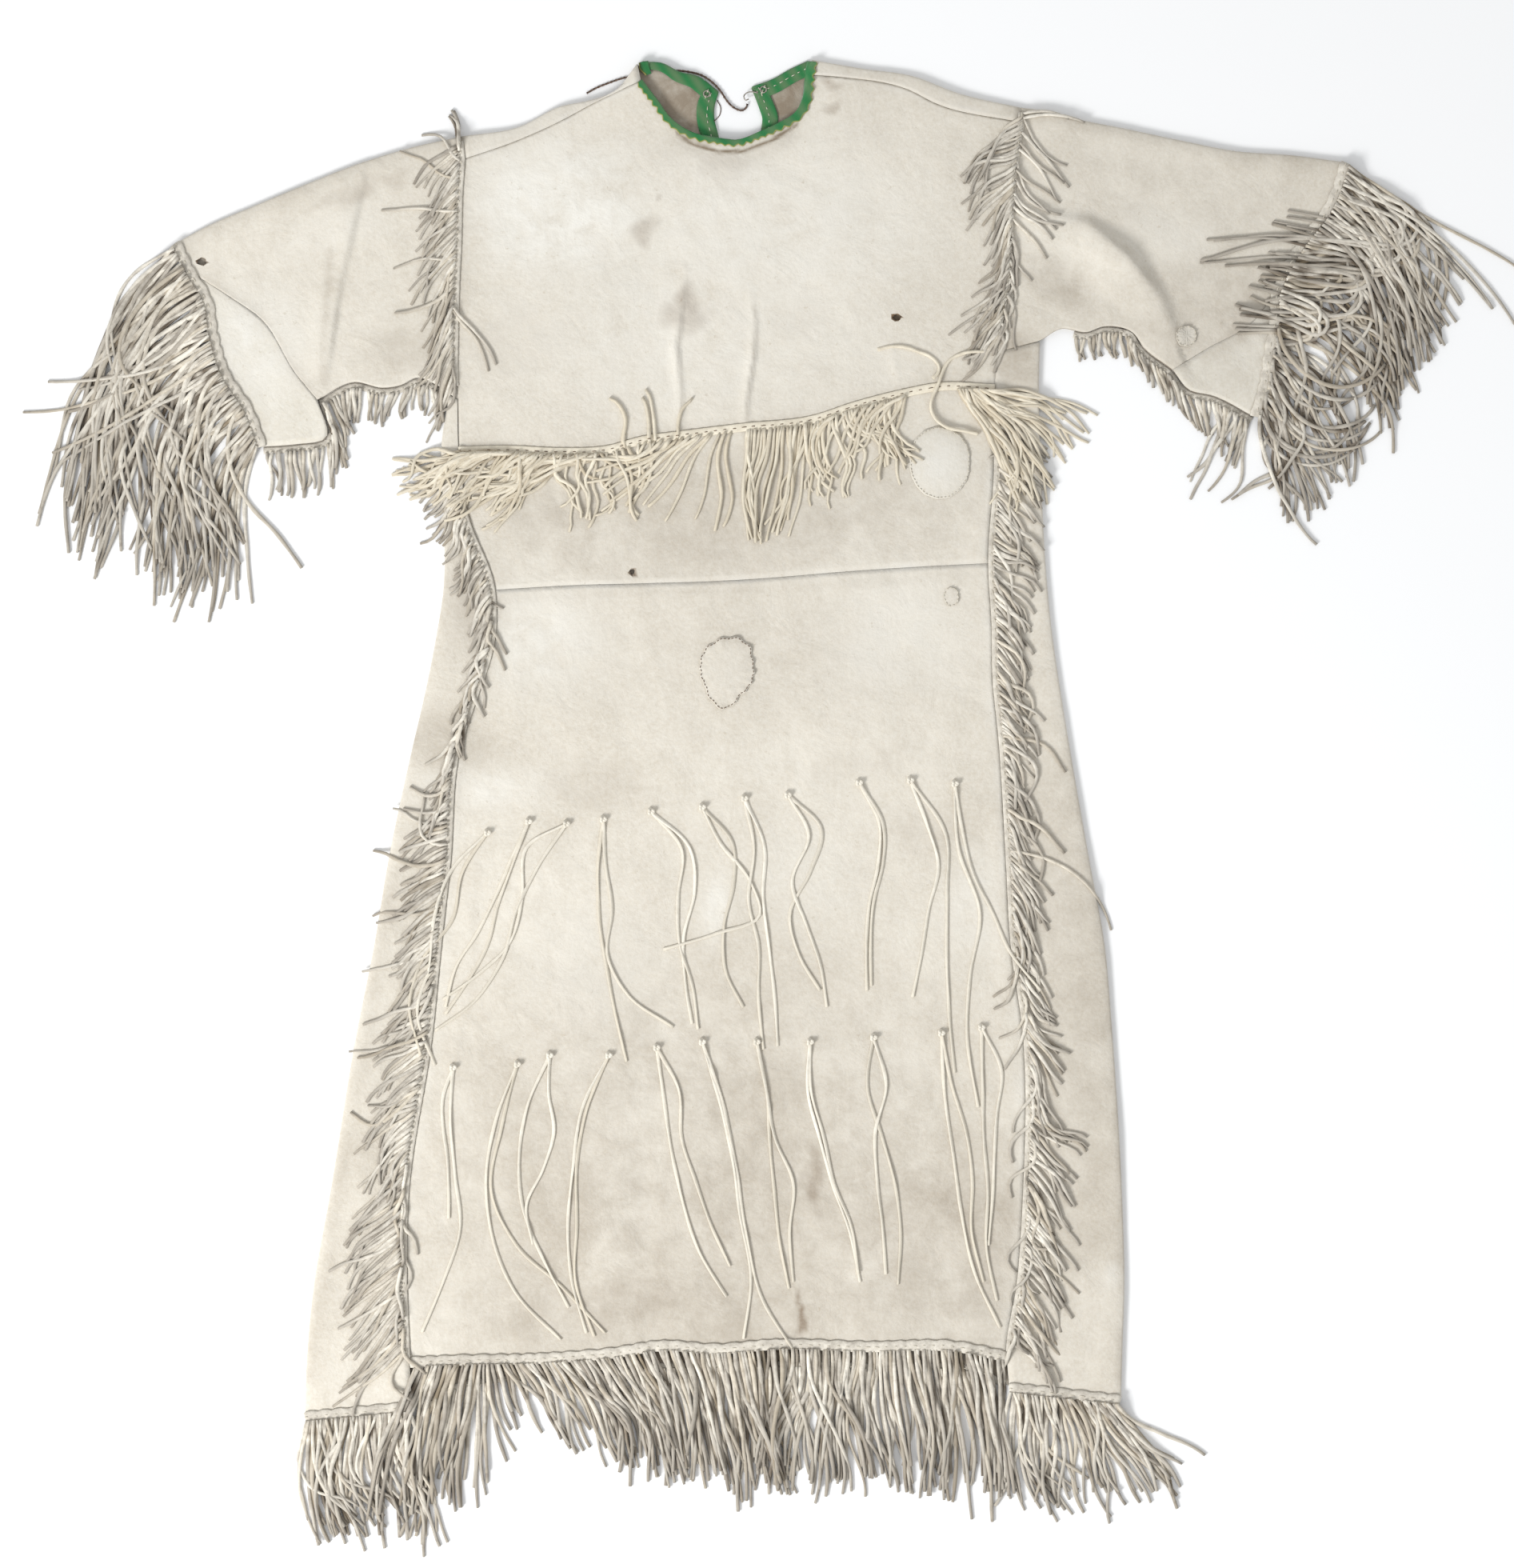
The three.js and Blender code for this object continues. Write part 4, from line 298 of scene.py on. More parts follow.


# Fringes: diameter of the strands, how soiled they are, and how deep a gap has to be for the shade painted
# on a strand in it to be darkest
FRINGES = {
    "hem_fringe_back": {"diameter": 3.8, "rows": [
        strands(16, 4, 7, (0, -98, -96, 92), (0.125, -100, -102, 84), last=0.125),
        strands(88, 4, 9, (0.27, -62, -70, 60), (0.36, -76, -78, 84), (0.5, -86, -86, 96),
                (1, -84, -80, 88), first=0.27),
    ]},
    "hem_fringe_left": {"diameter": 3.7, "rows": [
        strands(42, 5, 14, (0, -108, -62, 108), (1, -94, -84, 118)),
        strands(22, 12, 24, (0, -100, -52, 112), (1, -80, -74, 96)),
    ]},
    "hem_fringe_right": {"diameter": 3.7, "rows": [
        strands(38, 5, 16, (0, -100, -72, 96), (1, -58, -54, 104)),
        strands(22, 12, 26, (0, -70, -66, 100), (1, -44, -66, 92)),
    ]},
    "hem_fringe_front": {"diameter": 3.8, "soil": 0.12, "gap": 1.5, "rows": [
        strands(146, 3.5, 13, (0, -112, -92, 126), (0.12, -104, -98, 124), (0.15, -74, -66, 44),
                (0.19, -56, -58, 76), (0.28, -56, -66, 104), (0.4, -72, -80, 120), (0.7, -84, -84, 126),
                (1, -88, -84, 126)),
        strands(58, 7, 20, (0, -116, -88, 122), (0.12, -106, -96, 114), (0.15, -70, -62, 36),
                (0.19, -52, -60, 70), (0.28, -58, -70, 100), (0.5, -80, -84, 120), (0.7, -92, -80, 118),
                (1, -80, -88, 120)),
    ]},
    "underarm_fringe_left": {"diameter": 3.6, "rows": [
        strands(52, 8, 14, (0, -100, -96, 26), (0.4, -92, -90, 30), (0.52, -56, -80, 52),
                (0.66, -76, -98, 40), (1, -104, -104, 42)),
    ]},
    "underarm_fringe_right": {"diameter": 3.4, "rows": [
        strands(50, 9, 14, (0, -88, -76, 18), (0.5, -82, -66, 30), (0.8, -80, -76, 36), (1, -96, -110, 44)),
        strands(5, 12, 24, (0.86, -108, -132, 76), (1, -104, -116, 86), first=0.86),
    ]},
    "cuff_fringe_left": {"diameter": 3.7, "rows": [
        strands(64, 4, 11, (0, 222, 266, 240), (0.2, 206, 264, 240), (0.45, 198, 265, 226),
                (0.7, 206, 266, 188), (1, 244, 268, 150), curl=2.0),
        strands(52, 6, 16, (0, 228, 264, 220), (0.2, 204, 262, 226), (0.45, 196, 264, 214),
                (0.7, 204, 265, 180), (1, 236, 264, 146), curl=2.0),
        strands(26, 9, 28, (0, 222, 268, 190), (0.5, 204, 276, 196), (1, 226, 268, 140), first=0.1,
                last=0.82, curl=1.9),
        strands(7, 6, 10, (0.24, 244, 186, 132), (0.62, 204, 206, 186), first=0.24, last=0.62),
        strands(2, 3, 12, (0, 202, 296, 142), (1, 196, 280, 158), first=0.02, last=0.06),
    ]},
    "cuff_fringe_right": {"diameter": 3.6, "soil": 0.1, "gap": 0.5, "rows": [
        strands(54, 6, 14, (0, -30, -96, 150), (0.3, -8, -92, 156), (0.6, -16, -80, 154),
                (1, -62, -98, 98)),
        strands(46, 9, 30, (0, -8, -76, 146), (0.4, 4, -104, 154), (0.7, -10, -80, 150), (1, -48, -92, 98),
                first=0.08),
        strands(16, 14, 44, (0.3, 4, -110, 140), (1, -40, -120, 100), first=0.3),
        strands(34, 5, 13, (0.03, -24, -182, 206), (0.3, -16, -188, 172), (0.6, -10, -196, 124), first=0.03,
                last=0.6, turn=(0.24, 0.56), spread=0.13),
        strands(5, 3, 14, (0.03, -18, -184, 276), (0.32, -6, -184, 226), first=0.03, last=0.32,
                turn=(0.18, 0.42)),
        strands(18, 5, 10, (0, -42, -70, 170), (0.26, -30, -88, 150), last=0.26),
        strands(10, 7, 9, (0.66, -88, 58, 118), (1, -112, 66, 136), first=0.66, last=0.99),
        strands(4, 4, 6, (0, -34, -44, 188), (0.1, -24, -64, 184), last=0.1),
        strands(1, 1, 8, (0, -94, -36, 142), (1, -94, -36, 142), first=0.97),
    ]},
    "side_fringe_left": {"diameter": 3.3, "rows": [
        strands(215, 9, 18, (0, 216, 228, 44), (0.15, 236, 252, 40), (0.3, 232, 246, 34),
                (0.42, 206, 224, 46), (0.6, 214, 232, 54), (0.75, 220, 236, 60), (0.88, 222, 236, 70),
                (1, 224, 242, 74)),
        strands(40, 22, 34, (0, 230, 250, 52), (0.3, 262, 280, 42), (0.45, 206, 190, 62),
                (0.75, 226, 240, 70), (0.9, 290, 296, 46), (1, 250, 262, 54)),
    ]},
    "side_fringe_right": {"diameter": 3.3, "rows": [
        strands(215, 9, 18, (0, -36, -46, 56), (0.2, -44, -54, 48), (0.4, -50, -66, 46),
                (0.55, -60, -78, 50), (0.75, -54, -68, 56), (1, -46, -62, 64)),
        strands(36, 22, 34, (0, -60, -50, 62), (0.4, -24, -50, 66), (0.6, -84, -96, 54),
                (0.8, -36, -56, 72), (1, -64, -60, 58)),
        strands(1, 1, 6, (0, -4, -66, 138), (1, -4, -66, 138), first=0.4),
    ]},
    "armhole_fringe_left": {"diameter": 3.0, "rows": [
        strands(64, 9, 16, (0, 214, 236, 50), (0.3, 222, 242, 50), (0.5, 238, 252, 58), (0.8, 240, 258, 56),
                (1, 250, 262, 54)),
        strands(8, 22, 26, (0, 150, 190, 46), (0.2, 190, 176, 62), (0.4, 200, 180, 66), (1, 280, 276, 50)),
        strands(4, 14, 16, (0, 96, 116, 34), (1, 150, 170, 34), last=0.05),
        strands(2, 7, 14, (0, -58, -70, 58), (1, -58, -70, 58), first=0.66, last=0.72),
    ]},
    "armhole_fringe_right": {"diameter": 3.0, "rows": [
        strands(58, 11, 20, (0, 222, 238, 74), (0.3, 224, 238, 54), (0.6, 240, 254, 54), (1, 230, 224, 50)),
        strands(22, 16, 26, (0, -38, -50, 58), (0.4, -54, -74, 50), (1, -76, -96, 42)),
        strands(2, 5, 10, (0, 22, -26, 52), (1, 22, -26, 52), last=0.03),
    ]},
    "waist_fringe": {"diameter": 3.3, "rows": [
        strands(66, 10, 34, (0, 198, 192, 72), (0.12, 204, 198, 88), (0.26, 218, 226, 76), last=0.26),
        strands(26, 22, 50, (0, 232, 186, 66), (0.14, 250, 200, 66), (0.28, 300, 240, 66), last=0.28),
        strands(8, 14, 30, (0.26, 300, 322, 60), (0.36, 244, 210, 70), first=0.26, last=0.36),
        strands(14, 8, 24, (0.36, 236, 212, 76), (0.51, 238, 252, 90), first=0.36, last=0.51),
        strands(20, 5, 15, (0.53, 264, 286, 104), (0.65, 258, 256, 96), first=0.53, last=0.65),
        strands(32, 12, 36, (0.64, 260, 312, 72), (0.74, 270, 314, 80), (0.84, 256, 258, 60), first=0.64,
                last=0.84),
        strands(10, 14, 30, (0.66, 232, 330, 70), (0.84, 226, 190, 62), first=0.66, last=0.84),
        strands(24, 9, 26, (0.93, 292, 300, 104), (1, 304, 294, 112), first=0.93),
        strands(15, 15, 26, (0.955, 332, 318, 98), (1, 354, 318, 104), first=0.95),
        strands(4, 14, 20, (0.3, 96, 108, 50), (0.42, 70, 112, 44), first=0.3, last=0.42),
    ]},
}

# Thongs tied through the skirt: knot, then for both tails where it ends and how far it bows to
# its left at each fifth of the way.
THONGS = {
    "upper_1": ((-216, -22), ((-263, -231), (-25, -30, -25, -26)), ((-276, -222), (-12, -8, -23, -23))),
    "upper_2": ((-179, -12), ((-254, -179), (0, 1, -1, -6)), ((-254, -185), (1, 3, 10, 8))),
    "upper_3": ((-145, -14), ((-256, -172), (-17, 5, 19, 13)), ((-263, -200), (-1, 4, 17, 16))),
    "upper_4": ((-112, -10), ((-91, -228), (-9, -11, -9, -6)), ((-49, -197), (-11, -18, -36, -29))),
    "upper_5": ((-69, -3), ((-32, -194), (28, 25, 7, 1)), ((-27, -199), (20, 8, 1, 4))),
    "upper_6": ((-23, 1), ((14, -179), (20, 14, -3, -9)), ((-58, -127), (24, 59, 75, 42))),
    "upper_7": ((15, 9), ((32, -217), (5, -3, 3, -1)), ((45, -214), (12, 5, 4, 3))),
    "upper_8": ((54, 12), ((83, -164), (25, 9, -16, -14)), ((89, -179), (12, -10, -5, 1))),
    "upper_9": ((118, 23), ((125, -164), (17, 14, 5, 1)), ((129, -160), (19, 18, 7, 2))),
    "upper_10": ((164, 25), ((166, -170), (14, 24, 15, 9)), ((204, -238), (24, 17, 8, 3))),
    "upper_11": ((204, 22), ((225, -269), (-1, 14, 1, -5)), ((281, -164), (-10, -16, -13, -11))),
    "lower_1": ((-247, -233), ((-251, -369), (-8, -7, -2, 0)), ((-275, -471), (3, 13, 23, 14))),
    "lower_2": ((-189, -230), ((-150, -478), (-29, -45, -46, -34)),
                ((-110, -472), (-32, -58, -52, -24))),
    "lower_3": ((-160, -222), ((-143, -449), (-24, -34, -34, -20)), ((-175, -392), (2, 10, 3, -9))),
    "lower_4": ((-107, -222), ((-127, -472), (-20, -24, -25, -18)),
                ((-120, -475), (-18, -24, -21, -20))),
    "lower_5": ((-64, -215), ((-1, -439), (-6, -12, -15, -13)), ((2, -412), (6, -5, -5, -4))),
    "lower_6": ((-23, -210), ((14, -477), (8, 12, 12, 14)), ((61, -490), (2, -3, -11, -15))),
    "lower_7": ((26, -210), ((55, -432), (3, 1, -1, -3)), ((59, -426), (2, 3, 13, 3))),
    "lower_8": ((74, -210), ((119, -426), (-11, -9, -6, 0)), ((117, -418), (-8, -5, -4, 3))),
    "lower_9": ((131, -206), ((153, -428), (-10, -1, 6, 7)), ((142, -419), (9, -3, -4, -1))),
    "lower_10": ((192, -202), ((245, -467), (-8, -11, -14, -13)), ((230, -426), (1, 7, 5, -3))),
    "lower_11": ((228, -197), ((242, -443), (-2, -3, -2, -7)), ((234, -393), (17, 12, 8, 5))),
}
THONG_WIDTH = 3.3
THONG_THICKNESS = 1.6
THONG_SIDES = 8

# Plane geometry
FINE = 400


def stations(line):
    """How far along a line each of its points is."""
    return np.concatenate([[0.0], np.cumsum(np.linalg.norm(np.diff(line, axis=0), axis=1))])


def equal_steps(line, count):
    """A polyline cut into equal steps, ends kept."""
    line = np.asarray(line, float)
    at = stations(line)
    wanted = np.linspace(0, at[-1], count + 1)
    return np.stack([np.interp(wanted, at, line[:, k]) for k in range(line.shape[1])], axis=1)


def length_of(line):
    return stations(line)[-1]


def evened(values, reach):
    """Values along a line, averaged over this many points to each side."""
    width = 2 * reach + 1
    return np.convolve(np.pad(values, reach, mode="edge"), np.ones(width) / width, mode="valid")


def smooth(points, count):
    """A smooth line through the points, in equal steps."""
    points = np.asarray(points, float)
    at = stations(points)
    chord = np.diff(at)
    slopes = np.gradient(points, at, axis=0)
    fine = np.linspace(0, at[-1], FINE)
    span = np.clip(np.searchsorted(at, fine, side="right") - 1, 0, len(chord) - 1)
    size = chord[span][:, None]
    t = (fine - at[span])[:, None] / size
    line = (
        (2 * t ** 3 - 3 * t ** 2 + 1) * points[span]
        + (t ** 3 - 2 * t ** 2 + t) * slopes[span] * size
        + (3 * t ** 2 - 2 * t ** 3) * points[span + 1]
        + (t ** 3 - t ** 2) * slopes[span + 1] * size
    )
    return equal_steps(line, count)


def chain(*lines):
    """Lines that meet end to start, as one."""
    return np.concatenate([lines[0], *[line[1:] for line in lines[1:]]])


def beside(line, offset):
    """A line beside another, moved to its left."""
    run = np.gradient(line, axis=0)
    run /= np.linalg.norm(run, axis=1)[:, None]
    return line + np.column_stack([-run[:, 1], run[:, 0]]) * np.reshape(offset, (-1, 1))


def ring(middle, wide, high, angle):
    """Points in plan at some angles around a middle."""
    return np.column_stack([middle[0] + wide * np.cos(angle), middle[1] + high * np.sin(angle)])


def towards(points, targets, step):
    gap = targets - points
    length = np.linalg.norm(gap, axis=-1, keepdims=True)
    return points + gap * step / np.maximum(length, 1e-6)


def across_path(path, x, y):
    """Signed distance to a path, above zero on its left, and how far along it the nearest point is."""
    path = np.asarray(path, float)
    best = np.full(x.shape, np.inf)
    side = np.ones(x.shape)
    along = np.zeros(x.shape)
    done = 0.0
    for a, b in zip(path[:-1], path[1:]):
        run = b - a
        length = np.hypot(*run)
        t = np.clip(((x - a[0]) * run[0] + (y - a[1]) * run[1]) / length ** 2, 0, 1)
        dx = x - a[0] - run[0] * t
        dy = y - a[1] - run[1] * t
        away = np.hypot(dx, dy)
        nearer = away < best
        best = np.where(nearer, away, best)
        side = np.where(nearer, np.sign(run[0] * dy - run[1] * dx), side)
        along = np.where(nearer, done + t * length, along)
        done += length
    return best * np.where(side == 0, 1, side), along


# Height of the middle of each layer
def gaussian(distance, reach):
    return np.exp(-(distance / reach) ** 2)


def swells(x, y):
    """Gentle unevenness of a hide that has been worn and folded."""
    z = np.zeros(x.shape)
    for k, (size, height) in enumerate(SWELLS):
        for turn in (0.5, 1.7, 2.9):
            angle = turn + 1.3 * k
            wave = (x * math.cos(angle) + y * math.sin(angle)) / size
            bend = 0.8 * np.sin((x * math.sin(angle) - y * math.cos(angle)) / (1.7 * size) + k)
            z += height / 3 * (1 + np.sin(math.tau * wave + 3 * bend + 2 * turn))
    return z


def back_height(x, y):
    away, _ = across_path(STRING_TUNNEL["path"], x, y)
    return BACK_Z + STRING_TUNNEL["height"] * gaussian(away, STRING_TUNNEL["reach"])


FOLD_BEAT = 17
PUCKER = {"height": 0.45, "reach": 9, "pitch": 8.5}


def front_height(x, y):
    z = FRONT_Z + swells(x, y)
    for path, height, left, right in FOLDS:
        away, along = across_path(path, x, y)
        fade = np.sin(math.pi * np.clip(along / length_of(path), 0.04, 0.96)) ** 0.5
        uneven = 0.8 + 0.2 * np.sin(along / FOLD_BEAT + height * 9)
        z = z + height * fade * uneven * gaussian(away, np.where(away > 0, left, right))
    for seam in PUCKERED:
        away, along = across_path(seam, x, y)
        ripple = np.sin(math.tau * along / PUCKER["pitch"] + 1.5 * np.sin(along / 13))
        z = z + PUCKER["height"] * (1 + ripple) * np.exp(-np.abs(away) / PUCKER["reach"]) / 2
    away, _ = across_path(STRING_TUNNEL["path"], x, y)
    z = z + STRING_TUNNEL["front_height"] * gaussian(away, STRING_TUNNEL["front_reach"])
    away, _ = across_path(SLIT_RISE["path"], x, y)
    return z + SLIT_RISE["height"] * gaussian(away, SLIT_RISE["reach"])


# What already lies on the table, as a map of heights that later pieces are laid on
class Ground:
    cell = 1.5
    west = -690
    south = -750
    size = 1000

    def __init__(self):
        self.height = np.zeros((self.size, self.size))

    def index(self, plan):
        i = ((plan[..., 0] - self.west) / self.cell).astype(int)
        j = ((plan[..., 1] - self.south) / self.cell).astype(int)
        return np.clip(j, 0, self.size - 1), np.clip(i, 0, self.size - 1)

    def disc(self, radius):
        reach = int(math.ceil(radius / self.cell))
        steps = np.arange(-reach, reach + 1) * self.cell
        dx, dy = np.meshgrid(steps, steps)
        keep = np.hypot(dx, dy) <= radius
        return np.column_stack([dx[keep], dy[keep]])

    def under(self, plan, radius):
        """The highest thing under a foot of this radius at each point."""
        spots = plan[:, None, :2] + self.disc(radius)[None]
        return self.height[self.index(spots)].max(axis=1)

    def add_grid(self, grid, thickness):
        fine = 4
        u = (np.arange(fine) + 0.5) / fine
        a, b, c, d = grid[:-1, :-1], grid[:-1, 1:], grid[1:, :-1], grid[1:, 1:]
        for s in u:
            for t in u:
                spots = (a * (1 - s) + b * s) * (1 - t) + (c * (1 - s) + d * s) * t
                np.maximum.at(self.height, self.index(spots), spots[..., 2] + thickness / 2)

    def add_line(self, path, radius, top):
        dense = equal_steps(path, max(int(len(path) * 5), 2))
        spots = dense[:, None, :2] + self.disc(radius)[None]
        np.maximum.at(self.height, self.index(spots), (dense[:, 2] + top)[:, None])


ground = Ground()


# Objects and their meshes
def placed(name, data):
    """A new object in the scene."""
    thing = bpy.data.objects.new(name, data)
    bpy.context.scene.collection.objects.link(thing)
    return thing


class Builder:
    """Collects points, faces and a tone for each point, and makes one mesh object of them."""

    def __init__(self):
        self.points = []
        self.tones = []
        self.faces = []
        self.looks = []
        self.count = 0

    def add(self, points, face_sets, tone=(0.5, 0.5, 0.5), look=0):
        points = np.asarray(points, float).reshape(-1, 3)
        self.points.append(points)
        self.tones.append(np.broadcast_to(np.asarray(tone, float), (len(points), 3)))
        for faces in face_sets:
            faces = np.asarray(faces, int)
            self.faces.append(faces + self.count)
            self.looks.append(np.full(len(faces), look))
        self.count += len(points)

    def make(self, name, materials, replaces=()):
        mesh = bpy.data.meshes.new(name)
        points = np.concatenate(self.points) * MM
        points[:, 2] = np.maximum(points[:, 2], 0)
        tones = np.concatenate(self.tones)
        widths = np.concatenate([np.full(len(f), f.shape[1]) for f in self.faces])
        loops = np.concatenate([f.ravel() for f in self.faces])
        mesh.vertices.add(len(points))
        mesh.vertices.foreach_set("co", points.ravel())
        mesh.loops.add(len(loops))
        mesh.loops.foreach_set("vertex_index", loops)
        mesh.polygons.add(len(widths))
        mesh.polygons.foreach_set("loop_start", np.concatenate([[0], np.cumsum(widths)[:-1]]))
        for material in materials:
            mesh.materials.append(material)
        mesh.polygons.foreach_set("material_index", np.concatenate(self.looks).astype(np.int32))
        mesh.update(calc_edges=True)
        mesh.validate()
        mesh.shade_smooth()
        colours = np.column_stack([tones, np.ones(len(tones))])
        attribute = mesh.attributes.new("tone", "FLOAT_COLOR", "POINT")
        attribute.data.foreach_set("color", colours.ravel())
        piece = placed(name, mesh)
        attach(piece, "root")
        if replaces:
            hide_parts(*replaces)
        return piece


def tones(count, *parts):
    """A tone for each of some points, from three parts that are one number or a number a point."""
    return np.column_stack([np.broadcast_to(part, count) for part in parts])


def tube(path, half_width, half_height, sides=6, turn=0.0, lobes=0.0):
    """Points and faces of a closed tube. Its half sizes and its turn may change along it."""
    count = len(path)
    run = np.gradient(path, axis=0)
    run /= np.linalg.norm(run, axis=1)[:, None]
    side = np.cross(run, (0, 0, 1))
    side /= np.maximum(np.linalg.norm(side, axis=1), 1e-6)[:, None]
    up = np.cross(side, run)
    round_angle = np.arange(sides) * math.tau / sides
    swell = 1 + lobes * np.cos(2 * round_angle)
    wide = np.outer(np.broadcast_to(half_width, count), np.cos(round_angle) * swell)
    high = np.outer(np.broadcast_to(half_height, count), np.sin(round_angle) * swell)
    turn = np.broadcast_to(turn, count)[:, None]
    out = wide * np.cos(turn) - high * np.sin(turn)
    rise = wide * np.sin(turn) + high * np.cos(turn)
    points = path[:, None] + out[..., None] * side[:, None] + rise[..., None] * up[:, None]
    first = np.arange(count - 1)[:, None] * sides
    a = first + np.arange(sides)
    b = first + (np.arange(sides) + 1) % sides
    quads = np.stack([a, b, b + sides, a + sides], axis=-1).reshape(-1, 4)
    caps = np.array([np.arange(sides)[::-1], np.arange(sides) + (count - 1) * sides])
    return points.reshape(-1, 3), (quads, caps)


def weld(grids):
    """Grids of points as one surface, joined where their points meet: points, quads, triangles."""
    points = np.concatenate([grid.reshape(-1, 3) for grid in grids])
    keys = np.round(points * 50).astype(np.int64)
    _, first, number = np.unique(keys, axis=0, return_index=True, return_inverse=True)
    number = number.reshape(-1)
    quads = []
    start = 0
    for grid in grids:
        ids = number[start:start + grid.shape[0] * grid.shape[1]].reshape(grid.shape[:2])
        start += ids.size
        corners = [ids[:-1, :-1], ids[1:, :-1], ids[1:, 1:], ids[:-1, 1:]]
        quads.append(np.stack(corners, axis=-1).reshape(-1, 4))
    quads = np.concatenate(quads)
    same = quads == np.roll(quads, -1, axis=1)
    triangles = [quad[~hit] for quad, hit in zip(quads[same.any(axis=1)], same[same.any(axis=1)])]
    triangles = [triangle for triangle in triangles if len(set(triangle)) == 3]
    return points[first], quads[~same.any(axis=1)], np.array(triangles, int).reshape(-1, 3)


def shell(grids, thickness):
    """A closed wall of even thickness on both sides of a surface."""
    points, quads, triangles = weld(grids)
    normals = np.zeros(points.shape)
    for faces in (quads, triangles):
        if len(faces):
            a, b, c = (points[faces[:, k]] for k in (0, 1, faces.shape[1] - 1))
            normal = np.cross(b - a, c - a)
            for k in range(faces.shape[1]):
                np.add.at(normals, faces[:, k], normal)
    normals /= np.maximum(np.linalg.norm(normals, axis=1), 1e-9)[:, None]
    count = len(points)
    edges = [np.stack([f, np.roll(f, -1, axis=1)], axis=-1).reshape(-1, 2) for f in (quads, triangles)]
    edges = np.concatenate(edges)
    code = edges[:, 0] * count + edges[:, 1]
    back = edges[:, 1] * count + edges[:, 0]
    a, b = edges[~np.isin(back, code)].T
    rim = np.stack([b, a, a + count, b + count], axis=-1)
    face_sets = [quads, quads[:, ::-1] + count, rim]
    if len(triangles):
        face_sets += [triangles, triangles[:, ::-1] + count]
    out = normals * thickness / 2
    return np.concatenate([points + out, points - out]), face_sets


# Panels
def panel(top, bottom, left, right):
    """A grid between four border lines."""
    u = np.linspace(0, 1, len(top))[None, :, None]
    v = np.linspace(0, 1, len(left))[:, None, None]
    across = left[:, None] * (1 - u) + right[:, None] * u
    down = top[None] * (1 - v) + bottom[None] * v
    corners = (top[0] * (1 - u) + top[-1] * u) * (1 - v) + (bottom[0] * (1 - u) + bottom[-1] * u) * v
    return across + down - corners


def drawn_in(grid, borders):
    """Moves borders of a grid in by the room that a seam needs."""
    grid = grid.copy()
    columns = grid.swapaxes(0, 1)
    for border, lines, edge, inner in (("left", columns, 0, 1), ("right", columns, -1, -2),
                                       ("top", grid, 0, 1), ("bottom", grid, -1, -2)):
        if border in borders:
            lines[edge] = towards(lines[edge], lines[inner], SEAM_ROOM)
    return grid


def raised(grid, height):
    return np.concatenate([grid, height(grid[..., 0], grid[..., 1])[..., None]], axis=-1)


FOLD_BULGE = {"height": 1.1, "reach": 9}


def folded(back, front):
    """Two layers that share their first row, joined there by a rounded fold."""
    back, front = back.copy(), front.copy()
    edge = back[0].copy()
    inner = towards(edge, (back[1] + front[1]) / 2, FOLD_REACH)
    back[0] = front[0] = inner
    low, high = raised(back, back_height), raised(front, front_height)
    away = np.linalg.norm(front - edge[None], axis=-1)
    away = away / FOLD_BULGE["reach"]
    high[..., 2] += FOLD_BULGE["height"] * away * np.exp(1 - away)
    middle, half = (low[0, :, 2] + high[0, :, 2]) / 2, (high[0, :, 2] - low[0, :, 2]) / 2
    arcs = []
    for k in range(1, FOLD_STEPS):
        angle = math.pi * (k / FOLD_STEPS - 0.5)
        plan = inner + (edge - inner) * math.cos(angle)
        arcs.append(np.column_stack([plan, middle + half * math.sin(angle)]))
    return np.concatenate([low[::-1], np.array(arcs), high])


def gore_seam(side):
    return [(seam, y) for y, _, seam in GORE[side]["rows"]]


SHOULDER_COLUMNS = 44
NECK_COLUMNS = 84
PUCKERED = [WAIST, SKIRT_SEAM, gore_seam("left"), gore_seam("right"), ARMHOLE["left"], ARMHOLE["right"],
            SHOULDER_SEAM["left"], SHOULDER_SEAM["right"], SLEEVE["left"]["insert_seam"],
            SLEEVE["right"]["insert_seam"], SLEEVE["left"]["cuff_below"], SLEEVE["right"]["cuff_above"],
            HEM_FRONT]


MARK_EDGE = 1.5  # 1 for marks that fade like a bell, and more for marks with an edge


def mark_mask(marks, x, y):
    total = np.zeros(x.shape)
    for mx, my, along, across, turn, strength in marks:
        angle = math.radians(turn)
        u = (x - mx) * math.cos(angle) + (y - my) * math.sin(angle)
        v = (y - my) * math.cos(angle) - (x - mx) * math.sin(angle)
        total = np.maximum(total, strength * np.exp(-((u / along) ** 2 + (v / across) ** 2) ** MARK_EDGE))
    return total


# Chalky lines along the seams: path, reach and strength
PALE_LINES = [(SKIRT_SEAM, 3.5, 0.9), (SHOULDER_SEAM["left"], 4, 0.8), (SHOULDER_SEAM["right"], 4, 0.6),
              (gore_seam("right"), 7, 0.7), (gore_seam("left"), 6, 0.5)]
STAIN_SWIRL = 3.4  # how far the outlines of stains wander
SEAM_DIRT = {"strength": 0.22, "reach": 5}
INNER_SIDE = (0.12, 0.74, 0)


